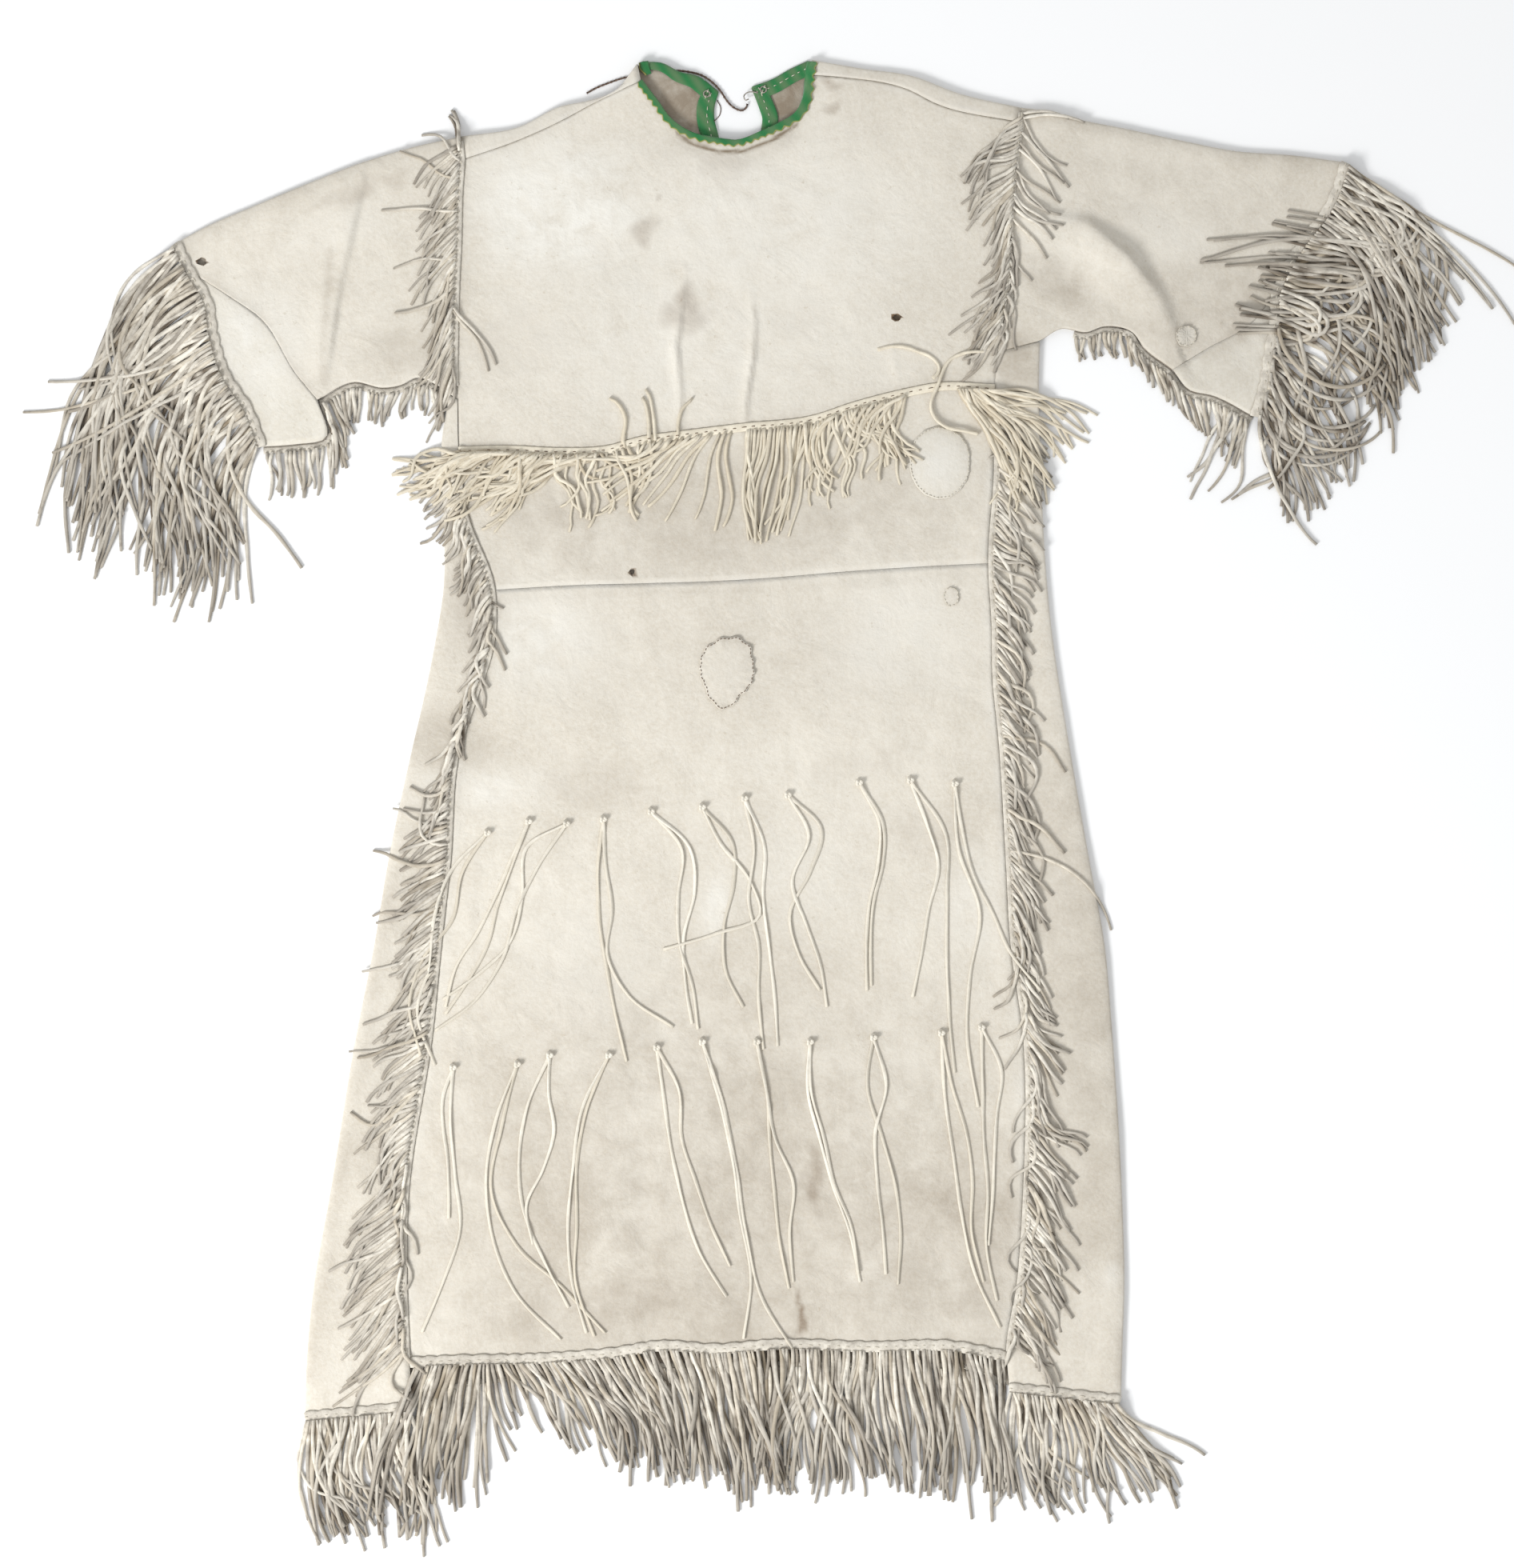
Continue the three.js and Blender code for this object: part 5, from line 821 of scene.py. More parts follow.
def wear(points):
    """Stain, dirt with some painted shade, and chalk of a hide at its points. The second half of them is
    its inner side.
    """
    x, y, _ = points.T
    swirl_x = x + STAIN_SWIRL * np.sin(y / 8 + 1.4 * np.sin(x / 11))
    swirl_y = y + STAIN_SWIRL * np.sin(x / 7 + 1.2 * np.sin(y / 9))
    stain = mark_mask(STAINS, swirl_x, swirl_y)
    dirt_and_shade, pale = (mark_mask(marks, x, y) for marks in (DIRTS, PALES))
    for seam in PUCKERED:
        away, _ = across_path(seam, x, y)
        dirt_and_shade = np.maximum(dirt_and_shade, SEAM_DIRT["strength"] * np.exp(-np.abs(away) / SEAM_DIRT["reach"]))
    for line, reach, strength in PALE_LINES:
        away, along = across_path(line, x, y)
        uneven = 0.75 + 0.25 * np.sin(along / 11)
        pale = np.maximum(pale, strength * uneven * gaussian(away, reach))
    # some of these lines are painted shade along creases and a ridge
    for line, reach, strength in DIRT_AND_SHADE_LINES:
        away, _ = across_path(line, x, y)
        dirt_and_shade = np.maximum(dirt_and_shade, strength * gaussian(away, reach))
    inner = np.arange(len(points)) >= len(points) // 2
    return np.where(inner[:, None], INNER_SIDE, np.column_stack([stain, dirt_and_shade, pale]))


def cut(curve, high, low):
    """The part of a falling curve between two heights."""
    order = -curve[:, 1]
    ends = [np.array([[np.interp(-y, order, curve[:, 0]), y]]) for y in (high, low)]
    inner = curve[(curve[:, 1] < high - 0.5) & (curve[:, 1] > low + 0.5)]
    return np.concatenate([ends[0], inner, ends[1]])


def gore_line(side, column):
    gore = GORE[side]
    rows = [(row[column], row[0]) for row in gore["rows"]]
    end = 0 if column == 1 else 1
    return [gore["top"][end], *rows, gore["hem"][end]]


gore_fold = {side: smooth(gore_line(side, 1), FINE) for side in GORE}
gore_edge = {side: smooth(gore_line(side, 2), FINE) for side in GORE}
armhole = {side: smooth(ARMHOLE[side], FINE) for side in ARMHOLE}
fold_end = {"left": SHOULDER_FOLD["left"][0], "right": SHOULDER_FOLD["right"][-1]}
waist_corner = {side: gore_seam(side)[0] for side in GORE}


# Looks
class Look:
    """Builds a procedural material around one principled shader."""

    def __init__(self, name, roughness, sheen=0.0, metallic=0.0):
        self.material = bpy.data.materials.new(name)
        self.material.use_nodes = True
        self.nodes = self.material.node_tree.nodes
        self.links = self.material.node_tree.links
        self.shader = self.nodes["Principled BSDF"]
        self.shader.inputs["Roughness"].default_value = roughness
        self.shader.inputs["Metallic"].default_value = metallic
        self.shader.inputs["Sheen Weight"].default_value = sheen
        self.shader.inputs["Sheen Roughness"].default_value = 0.5
        self.shader.inputs["Specular IOR Level"].default_value = 0.2
        self.place = self.nodes.new("ShaderNodeTexCoord").outputs["Object"]

    def set(self, socket, value):
        if isinstance(value, bpy.types.NodeSocket):
            self.links.new(value, socket)
        elif isinstance(value, tuple) and len(value) == 3 and socket.type == "RGBA":
            socket.default_value = (*value, 1)
        else:
            socket.default_value = value

    def noise(self, scale, detail=4.0, roughness=0.55, distortion=0.0, stretch=None):
        node = self.nodes.new("ShaderNodeTexNoise")
        node.inputs["Scale"].default_value = scale
        node.inputs["Detail"].default_value = detail
        node.inputs["Roughness"].default_value = roughness
        node.inputs["Distortion"].default_value = distortion
        place = self.place
        if stretch:
            mapping = self.nodes.new("ShaderNodeMapping")
            mapping.inputs["Scale"].default_value = stretch
            self.links.new(self.place, mapping.inputs["Vector"])
            place = mapping.outputs["Vector"]
        self.links.new(place, node.inputs["Vector"])
        return node.outputs["Fac"]

    def waves(self, scale, direction):
        node = self.nodes.new("ShaderNodeTexWave")
        node.bands_direction = direction
        node.inputs["Scale"].default_value = scale
        node.inputs["Distortion"].default_value = 1.5
        node.inputs["Detail"].default_value = 2
        self.links.new(self.place, node.inputs["Vector"])
        return node.outputs["Fac"]

    def span(self, value, low, high, to_low=0.0, to_high=1.0):
        node = self.nodes.new("ShaderNodeMapRange")
        self.set(node.inputs["Value"], value)
        ends = (low, high, to_low, to_high)
        for name, end in zip(("From Min", "From Max", "To Min", "To Max"), ends):
            node.inputs[name].default_value = end
        return node.outputs["Result"]

    def maths(self, operation, a, b):
        node = self.nodes.new("ShaderNodeMath")
        node.operation = operation
        self.set(node.inputs[0], a)
        self.set(node.inputs[1], b)
        return node.outputs[0]

    def times(self, a, b):
        return self.maths("MULTIPLY", a, b)

    def mix(self, factor, a, b):
        node = self.nodes.new("ShaderNodeMix")
        node.data_type = "RGBA"
        self.set(node.inputs["Factor"], factor)
        self.set(next(s for s in node.inputs if s.name == "A" and s.type == "RGBA"), a)
        self.set(next(s for s in node.inputs if s.name == "B" and s.type == "RGBA"), b)
        return next(s for s in node.outputs if s.type == "RGBA")

    def tone(self):
        attribute = self.nodes.new("ShaderNodeAttribute")
        attribute.attribute_name = "tone"
        parts = self.nodes.new("ShaderNodeSeparateColor")
        self.links.new(attribute.outputs["Color"], parts.inputs["Color"])
        return [parts.outputs[name] for name in ("Red", "Green", "Blue")]

    def bump(self, height, distance, strength=1.0, normal=None):
        node = self.nodes.new("ShaderNodeBump")
        node.inputs["Distance"].default_value = distance
        node.inputs["Strength"].default_value = strength
        self.links.new(height, node.inputs["Height"])
        if normal:
            self.links.new(normal, node.inputs["Normal"])
        return node.outputs["Normal"]

    def done(self, colour, normal=None):
        self.set(self.shader.inputs["Base Color"], colour)
        if normal:
            self.links.new(normal, self.shader.inputs["Normal"])
        return self.material


# Colour of grime on the hide, also used for the shade painted along some creases
GRIME_AND_SHADE = (0.25, 0.20, 0.145)
SOAK = (0.17, 0.105, 0.055)
FLECK = (0.46, 0.385, 0.275)
PORE = (0.34, 0.28, 0.2)
YELLOWED = (0.52, 0.42, 0.27)
WORN_CLOTH = (0.3, 0.26, 0.18)


def suede(name, base, shade, pale):
    """Smoked and scraped hide: cloudy colour, nap, pores, and the stain, dirt with some painted shade, and
    chalk in its tone.
    """
    look = Look(name, roughness=0.93, sheen=0.2)
    stain, dirt_and_shade, chalk = look.tone()
    cloud = look.noise(7, detail=5, roughness=0.6, distortion=0.6)
    mottle = look.noise(42, detail=6, roughness=0.65, distortion=0.3)
    nap = look.noise(300, detail=5, roughness=0.7)
    streaks = look.noise(60, detail=5, roughness=0.6, stretch=(1, 0.25, 1))
    pores = look.noise(900, detail=2)
    colour = look.mix(look.span(cloud, 0.35, 0.7), base, shade)
    colour = look.mix(look.span(mottle, 0.45, 0.7, 0, 0.7), colour, shade)
    colour = look.mix(look.span(streaks, 0.48, 0.72, 0, 0.5), colour, shade)
    chalky = look.times(look.span(chalk, 0, 0.8), look.span(mottle, 0.25, 0.6))
    colour = look.mix(chalky, colour, pale)
    colour = look.mix(look.span(nap, 0.32, 0.72, 0, 0.5), colour, pale)
    fleck = look.noise(150, detail=3, roughness=0.75)
    colour = look.mix(look.span(fleck, 0.62, 0.76, 0, 0.5), colour, FLECK)
    # grime, together with the shade painted along some creases and a ridge
    grime_and_shade = look.times(dirt_and_shade, look.span(cloud, 0.2, 0.7, 0.5, 1.3))
    grime_and_shade = look.times(grime_and_shade, look.span(mottle, 0.3, 0.6, 0.6, 1.2))
    colour = look.mix(grime_and_shade, colour, GRIME_AND_SHADE)
    soak = look.times(look.span(stain, 0.06, 0.7), look.span(mottle, 0.3, 0.6, 0.4, 1.1))
    soak = look.times(soak, look.span(nap, 0.34, 0.62, 0.75, 1.05))
    colour = look.mix(soak, colour, SOAK)
    colour = look.mix(look.span(pores, 0.68, 0.8, 0, 0.4), colour, PORE)
    normal = look.bump(cloud, 0.004, 0.5)
    crinkle = look.noise(24, detail=5, roughness=0.6, distortion=1.4)
    normal = look.bump(crinkle, 0.0016, 0.6, normal)
    normal = look.bump(mottle, 0.0012, 0.9, normal)
    normal = look.bump(nap, 0.0004, 0.7, normal)
    return look.done(colour, normal)


def cut_hide(name, dark, light, tip):
    """Strands and thongs cut from hide: each its own tone, with painted shade on strands that lie in gaps,
    greyer towards its tip.
    """
    look = Look(name, roughness=0.95, sheen=0.15)
    shade, along, hue = look.tone()
    mottle = look.noise(120, detail=5, roughness=0.7)
    fibre = look.noise(700, detail=3, roughness=0.7)
    patchy = look.noise(16, detail=4)
    # the first part of the tone is each strand's own tone times the shade painted on it in gaps
    colour = look.mix(look.times(look.span(mottle, 0.2, 0.7, 0.45, 1.25), shade), dark, light)
    colour = look.mix(look.span(hue, 0.55, 1, 0, 0.35), colour, YELLOWED)
    colour = look.mix(look.span(patchy, 0.45, 0.75, 0, 0.16), colour, dark)
    end = look.maths("POWER", along, 2.2)
    colour = look.mix(look.times(end, look.span(mottle, 0.3, 0.7, 0.3, 1)), colour, tip)
    normal = look.bump(mottle, 0.0007, 0.8)
    normal = look.bump(fibre, 0.0003, 0.6, normal)
    return look.done(colour, normal)


def cloth(name, base, dark, rim):
    """Worn plain-woven cloth, with a faded rim where its tone says so."""
    look = Look(name, roughness=0.85, sheen=0.3)
    edge, worn, _ = look.tone()
    warp = look.waves(420, "X")
    weft = look.waves(420, "Y")
    fade = look.noise(60, detail=5)
    weave = look.times(warp, weft)
    colour = look.mix(look.span(weave, 0.1, 0.8), dark, base)
    colour = look.mix(look.span(fade, 0.4, 0.75, 0, 0.6), colour, dark)
    colour = look.mix(worn, colour, WORN_CLOTH)
    colour = look.mix(edge, colour, rim)
    return look.done(colour, look.bump(weave, 0.0003, 0.8))


def plain(name, base, shade, roughness, metallic=0.0, scale=300):
    """Thread, string and wire."""
    look = Look(name, roughness, metallic=metallic)
    grain = look.noise(scale, detail=4)
    colour = look.mix(look.span(grain, 0.3, 0.7), base, shade)
    return look.done(colour, look.bump(grain, 0.0002, 0.6))


MATERIALS = {
    "hide": suede("hide", (0.705, 0.655, 0.565), (0.585, 0.53, 0.44), (0.80, 0.775, 0.71)),
    "pale_hide": suede("pale_hide", (0.74, 0.70, 0.61), (0.62, 0.57, 0.475), (0.81, 0.79, 0.735)),
    "fringe": cut_hide("fringe_hide", (0.12, 0.09, 0.062), (0.86, 0.81, 0.71), (0.21, 0.18, 0.145)),
    "cream": cut_hide("cream_hide", (0.42, 0.36, 0.27), (0.82, 0.755, 0.62), (0.58, 0.52, 0.41)),
    "thong": cut_hide("thong_hide", (0.50, 0.45, 0.36), (0.83, 0.785, 0.69), (0.60, 0.545, 0.44)),
    "binding": cloth("binding", (0.05, 0.33, 0.10), (0.02, 0.17, 0.05), (0.42, 0.36, 0.10)),
    "thread": plain("thread", (0.72, 0.68, 0.58), (0.5, 0.45, 0.36), 0.9, scale=900),
    "dark_thread": plain("dark_thread", (0.20, 0.12, 0.08), (0.09, 0.055, 0.035), 0.9, scale=900),
    "string": plain("string", (0.20, 0.135, 0.10), (0.07, 0.045, 0.035), 0.85, scale=700),
    "wire": plain("wire", (0.50, 0.46, 0.41), (0.20, 0.17, 0.14), 0.45, metallic=0.5, scale=500),
}

# Camera: straight down on the middle of the dress
CAMERA = {"height": 4.0, "frame": 1.4112, "sensor": 24, "x": 0.02628, "y": 0.0216}
camera_data = bpy.data.cameras.new("camera")
camera_data.sensor_fit = "VERTICAL"
camera_data.sensor_height = CAMERA["sensor"]
camera_data.lens = CAMERA["sensor"] * CAMERA["height"] / CAMERA["frame"]
camera = placed("camera", camera_data)
camera.location = (CAMERA["x"], CAMERA["y"], CAMERA["height"])
bpy.context.scene.camera = camera


# Free cords: the neck string, and the two ends of the thong that laces the waist fringe
CORD_SIDES = 10


def cord_piece(name, route, diameter, material, turns, lobes):
    count = max(int(len(route) * 4), 24)
    path = smooth(route, count)
    builder = Builder()
    turn = np.linspace(0, turns * math.tau, count + 1)
    points, faces = tube(path, diameter / 2, diameter / 2, CORD_SIDES, turn, lobes)
    along = np.repeat(np.linspace(0, 0.6, count + 1), CORD_SIDES)
    builder.add(points, faces, tones(len(along), 0.8, along, 0.3))
    piece = builder.make(name + "_laid", [MATERIALS[material]], [name])


cord_piece("neck_string", NECK_STRING[::-1], STRING, "string", 20, 0.26)
cord_piece("waist_tie_left", WAIST_TIES["waist_tie_left"][::-1], WAIST_TIE, "cream", 1.5, 0.1)
cord_piece("waist_tie_right", WAIST_TIES["waist_tie_right"], WAIST_TIE, "cream", 3, 0.1)


# The back
def back_bodice():
    shoulder, neck, rows = 24, 20, 30
    halves = []
    below = equal_steps([SLIT_END, BACK_WAIST_MIDDLE], 10)
    for side in SIDES:
        left = side == "left"
        fold = smooth(SHOULDER_FOLD[side], shoulder)
        neck_line = smooth(NECK_BACK[side], neck)
        waist = waist_corner[side]
        outer = np.concatenate([[fold_end[side]], armhole[side], [waist]])
        outer = equal_steps(outer, rows)
        slit = chain(smooth(SLIT[side], rows - 10), below)
        ends = [waist, BACK_WAIST_MIDDLE] if left else [BACK_WAIST_MIDDLE, waist]
        bottom = equal_steps(ends, shoulder + neck)
        top = chain(fold, neck_line) if left else chain(neck_line, fold)
        borders = (top, bottom, outer, slit) if left else (top, bottom, slit, outer)
        grid = drawn_in(panel(*borders), ["bottom", side])
        first = 0 if left else neck
        columns = slice(first, first + shoulder + 1)
        seam = smooth(SHOULDER_SEAM[side], shoulder)
        strip_rows = 4
        share = np.linspace(0, 1, strip_rows + 1)[:, None, None]
        strip = grid[0, columns] * (1 - share) + seam * share
        strip = drawn_in(strip, ["bottom", side])
        strip[0] = grid[0, columns]
        sheet = folded(grid[:2, columns], strip)
        grid[0, columns] = sheet[1, :, :2]
        halves += [raised(grid, back_height)[::-1], sheet[1:]]
    return halves


def back_skirt():
    columns, rows = 56, 88
    top = equal_steps([waist_corner["left"], BACK_WAIST_MIDDLE, waist_corner["right"]], columns)
    borders = [equal_steps(cut(gore_edge[side], waist_corner[side][1], GORE[side]["hem"][1][1]), rows)
               for side in SIDES]
    grid = panel(top, smooth(HEM_BACK, columns), *borders)
    return [raised(drawn_in(grid, ["left", "right", "top"]), back_height)[::-1]]


# The front
def front_bodice():
    rows = 108
    top = chain(smooth(SHOULDER_SEAM["left"], SHOULDER_COLUMNS), smooth(NECK_FRONT, NECK_COLUMNS),
                smooth(SHOULDER_SEAM["right"], SHOULDER_COLUMNS))
    bottom = smooth(WAIST, 2 * SHOULDER_COLUMNS + NECK_COLUMNS)
    sides = [equal_steps(np.concatenate([armhole[side], [waist_corner[side]]]), rows) for side in SIDES]
    grid = drawn_in(panel(top, bottom, *sides), ["left", "right", "bottom"])
    for part in (slice(0, SHOULDER_COLUMNS + 1), slice(SHOULDER_COLUMNS + NECK_COLUMNS, None)):
        grid[0, part] = towards(grid[0, part], grid[1, part], SEAM_ROOM)
    return [raised(grid, front_height)]


def skirt_panel(top, bottom, columns, rows, first, last, borders):
    sides = []
    for side in SIDES:
        heights = [row[0] for row in GORE[side]["rows"]]
        sides.append(equal_steps(cut(gore_edge[side], heights[first], heights[last]), rows))
    top, bottom = smooth(top, columns), smooth(bottom, columns)
    for line, end in ((top, 0), (bottom, -1)):
        line[0], line[-1] = sides[0][end], sides[1][end]
    grid = panel(top, bottom, *sides)
    return [raised(drawn_in(grid, ["left", "right", *borders]), front_height)]


def gore(side):
    length, across = 190, 15
    fold, seam = equal_steps(gore_fold[side], length), equal_steps(gore_edge[side], length)
    ends = [equal_steps([fold[k], seam[k]], across) for k in (0, -1)]
    grid = drawn_in(panel(fold, seam, *ends), ["bottom", "left"])
    sheet = folded(grid, grid)
    return [sheet[:, ::-1] if side == "left" else sheet]


SLEEVE_COLUMNS = 110
SLEEVE_ROWS = 74
INSERT_COLUMNS = {"left": 18, "right": 16}


def sleeve_lines(side):
    plan = SLEEVE[side]
    columns, insert = SLEEVE_COLUMNS, INSERT_COLUMNS[side]
    above = round(plan["share_above"] * SLEEVE_ROWS)
    top = smooth(plan["cuff_above"], above)
    return {
        "edge": equal_steps(np.concatenate([[fold_end[side]], armhole[side]]), SLEEVE_ROWS),
        "fold": smooth(plan["fold"], columns),
        "cuff": chain(top, smooth(plan["cuff_below"], SLEEVE_ROWS - above)),
        "front_end": chain(top, smooth(plan["insert_seam"], SLEEVE_ROWS - above)),
        "under": chain(smooth(plan["underarm"], columns - insert), smooth(plan["insert_edge"], insert)),
        "under_front": smooth(plan["underarm"], columns),
    }


def sleeve(side):
    lines = sleeve_lines(side)
    back = drawn_in(panel(lines["fold"], lines["under"], lines["edge"], lines["cuff"]), ["left"])
    front = panel(lines["fold"], lines["under_front"], lines["edge"], lines["front_end"])
    sheet = folded(back, drawn_in(front, ["left", "right"]))
    return [sheet[:, ::-1] if side == "left" else sheet]


def sleeve_corner(side):
    plan = SLEEVE[side]
    columns, rows = 30, 14
    seam = smooth(plan["insert_seam"], columns)
    edge = smooth(plan["insert_edge"], rows)
    start = np.repeat(seam[:1], rows + 1, axis=0)
    grid = panel(seam, smooth(plan["cuff_below"], columns), start, edge)
    grid = raised(drawn_in(grid, ["top"]), front_height)
    return [grid[:, ::-1] if side == "right" else grid]


def place_hide(name, grids, look="hide"):
    builder = Builder()
    points, faces = shell(grids, HIDE)
    builder.add(points, faces, wear(points))
    for grid in grids:
        ground.add_grid(grid, HIDE)
    piece = builder.make(name + "_hide", [MATERIALS[look]], [name])


place_hide("back_bodice", back_bodice())
place_hide("back_skirt", back_skirt())


# Neck bindings: a pinked band along the front, plain folded bands down both edges of the back slit
def top_of(plan, radius):
    return ground.under(np.asarray(plan, float), radius)


THREAD_TONE = (0.8, 0.2, 0.3)
STITCH_STEPS = 6


def stitches(builder, line, size, look, seed, lift=0.15):
    """A row of single stitches on what lies under a line."""
    rng = np.random.default_rng(SEED + seed)
    count = max(int(length_of(line) / size["pitch"]), 1)
    steps, radius = STITCH_STEPS, size["radius"]
    dense = equal_steps(line, count * steps)
    for k in range(count):
        here = dense[k * steps:(k + 1) * steps + 1]
        share = min(size["length"] / size["pitch"] * rng.uniform(0.85, 1.1), 1)
        path = equal_steps(here[:, :2], steps)[:max(int(round(steps * share)) + 1, 3)]
        path = path + rng.normal(0, 0.12, 2)
        arch = np.sin(np.linspace(0.15, math.pi - 0.15, len(path)))
        z = top_of(path, 0.8).max() + lift + radius * (2 * arch - 1)
        builder.add(*tube(np.column_stack([path, z]), radius, radius), THREAD_TONE, look)


BAND_ROWS = 8
TOOTH_COLUMNS = 8
PLAIN_COLUMNS = 110
BAND_LAP = 0.9  # how far a folded band wraps past the edge of the hide
BAND_STITCH = {"in": 5.4, "pitch": 6, "length": 2.6, "radius": 0.34}


def widths_along(line, widths):
    return np.interp(np.linspace(0, 1, len(line)), *np.array(widths, float).T)


def band_grid(line, near, far, foot, reach, rise):
    """Rows of points across a band, between two offsets of its line, laid on what is under them."""
    rows = []
    for share in np.arange(BAND_ROWS + 1) / BAND_ROWS:
        plan = beside(line, near + (far - near) * share)
        z = evened(top_of(plan, foot), reach) + REST + BAND / 2
        rows.append(np.column_stack([plan, z + rise(share)]))
    return np.array(rows)


def pinked_band(name, strips):
    """Cloth with a zigzag cut edge: strips of a line and a table of widths along it."""
    builder = Builder()
    for line, widths in strips:
        line = smooth(line, FINE)
        teeth = int(length_of(line) / PINK_PITCH)
        line = equal_steps(line, teeth * TOOTH_COLUMNS)
        phase = np.arange(len(line)) / TOOTH_COLUMNS + 0.3 * np.sin(np.arange(len(line)) / 19)
        tooth = np.abs((phase % 1) * 2 - 1)
        depth = widths_along(line, widths) - PINK_DEPTH * tooth * (0.8 + 0.2 * np.sin(phase * 5.1))
        ripple = 0.12 * np.sin(phase * 2.3)
        grid = band_grid(line, -SEAM_ROOM, -SEAM_ROOM - depth, 1.6, 6, lambda share:
                         0.35 * math.sin(math.pi * share) + 0.5 * share ** 3 + ripple)
        points, faces = shell([grid], BAND)
        away = np.abs(across_path(beside(line, -SEAM_ROOM - depth), points[:, 0], points[:, 1])[0])
        edge = np.clip(1.3 - away / 0.8, 0, 1)
        grain = 0.5 + 0.5 * np.sin(points[:, 0] * 0.31 + points[:, 1] * 0.23)
        builder.add(points, faces, tones(len(points), edge, 0.25 * grain, grain))
        ground.add_grid(grid, BAND)
    builder.make(name + "_band", [MATERIALS["binding"]], [name])


def plain_band(side, line, slit_share):
    """A folded band along the neck and down the slit, sewn with running stitches."""
    name = "neck_binding_back_" + side
    line = equal_steps(line, PLAIN_COLUMNS)
    grid = band_grid(line, BAND_LAP, -widths_along(line, BAND_WIDTH[side]), 2.2, 5, lambda share:
                     -0.5 * (1 - share) ** 6 + 0.15 * math.sin(math.pi * share))
    builder = Builder()
    points, faces = shell([grid], BAND)
    grain = 0.5 + 0.5 * np.sin(points[:, 0] * 0.41 + points[:, 1] * 0.27)
    builder.add(points, faces, tones(len(points), 0, 0.3 * grain, grain))
    ground.add_grid(grid, BAND)
    sewn = line if side == "right" else line[int(len(line) * (1 - slit_share)):]
    stitches(builder, beside(sewn, -BAND_STITCH["in"]), BAND_STITCH, look=1, seed=5)
    if side == "left":
        thread = smooth(LOOSE_THREAD, 24)
        z = top_of(thread, 0.8) + 0.5
        builder.add(*tube(np.column_stack([thread, z]), 0.4, 0.4), (0.5, 0.2, 0.3), 2)
    looks = [MATERIALS["binding"], MATERIALS["thread"], MATERIALS["string"]]
    builder.make(name + "_band", looks, [name])


slit_left = [*SLIT["left"][:-1], (-8, BINDING_END)]
slit_right = [*SLIT["right"][:-1], (24, BINDING_END)]
neck_left = [(-76.5, 670.8), *NECK_BACK["left"][1:]]
neck_right = [*NECK_BACK["right"][:-1], (72, 671)]
plain_band("left", chain(smooth(neck_left, 30), smooth(slit_left, 40)), 0.46)
plain_band("right", chain(smooth(slit_right[::-1], 40), smooth(neck_right, 30)), 0.56)

place_hide("front_bodice", front_bodice())
place_hide("skirt_upper", skirt_panel(WAIST, SKIRT_SEAM, 92, 26, 0, SKIRT_SEAM_ROW, ["top", "bottom"]))
place_hide("skirt_lower", skirt_panel(SKIRT_SEAM, HEM_FRONT, 118, 150, SKIRT_SEAM_ROW, -1, ["top"]))
for side in SIDES:
    place_hide("gore_" + side, gore(side))
for side in SIDES:
    place_hide("sleeve_" + side, sleeve(side))
for side in SIDES:
    place_hide(f"sleeve_{side}_corner", sleeve_corner(side), "pale_hide")
pinked_band("neck_binding_front", [(BINDING_LINE, BINDING_WIDTH), (CORNER_LINE, CORNER_WIDTH)])


# Worn holes, cut through the front with an uneven edge
HOLE_SPAN = (2.2, 24)  # from between the layers to above the front


def cut_hole(name, middle, half_width, half_height, seed):
    rng = np.random.default_rng(SEED + seed)
    corners = 22
    angle = np.arange(corners) * math.tau / corners
    uneven = 1 + rng.normal(0, 0.12, corners)
    edge = ring(middle, half_width * uneven, half_height * uneven, angle)
    points = np.concatenate([np.column_stack([edge, np.full(corners, z)]) for z in HOLE_SPAN])
    steps = np.arange(corners)
    after = (steps + 1) % corners
    walls = np.stack([steps, after, after + corners, steps + corners], axis=-1)
    mesh = bpy.data.meshes.new("cutter")
    faces = [*walls.tolist(), steps[::-1].tolist(), (steps + corners).tolist()]
    mesh.from_pydata((points * MM).tolist(), [], faces)
    cutter = placed("cutter", mesh)
    piece = bpy.data.objects[name]
    modifier = piece.modifiers.new("hole", "BOOLEAN")
    modifier.operation = "DIFFERENCE"
    modifier.solver = "EXACT"
    modifier.object = cutter
    graph = bpy.context.evaluated_depsgraph_get()
    piece.data = bpy.data.meshes.new_from_object(piece.evaluated_get(graph))
    piece.modifiers.clear()
    bpy.data.objects.remove(cutter)
    bpy.data.meshes.remove(mesh)


for number, (name, middle, half_width, half_height) in enumerate(HOLES):
    cut_hole(name + "_hide", middle, half_width, half_height, number)


# Eyes and hook
WIRE_SIDES = 8


def wire_ring(builder, x, y, radius):
    angle = np.linspace(0, math.tau, 29)[:-1]
    z = top_of([(x, y)], radius)[0] + REST + WIRE / 2
    path = np.column_stack([ring((x, y), radius, radius, angle), z + 0.25 * np.sin(angle)])
    closed = np.concatenate([path, path[:1]])
    points, _ = tube(closed, WIRE / 2, WIRE / 2, WIRE_SIDES)
    count = len(path)
    first = np.arange(count)[:, None] * WIRE_SIDES
    after = (np.arange(count)[:, None] + 1) % count * WIRE_SIDES
    here = np.arange(WIRE_SIDES)
    there = (here + 1) % WIRE_SIDES
    faces = np.stack([first + here, first + there, after + there, after + here], axis=-1)
    builder.add(points[:-WIRE_SIDES], [faces.reshape(-1, 4)])


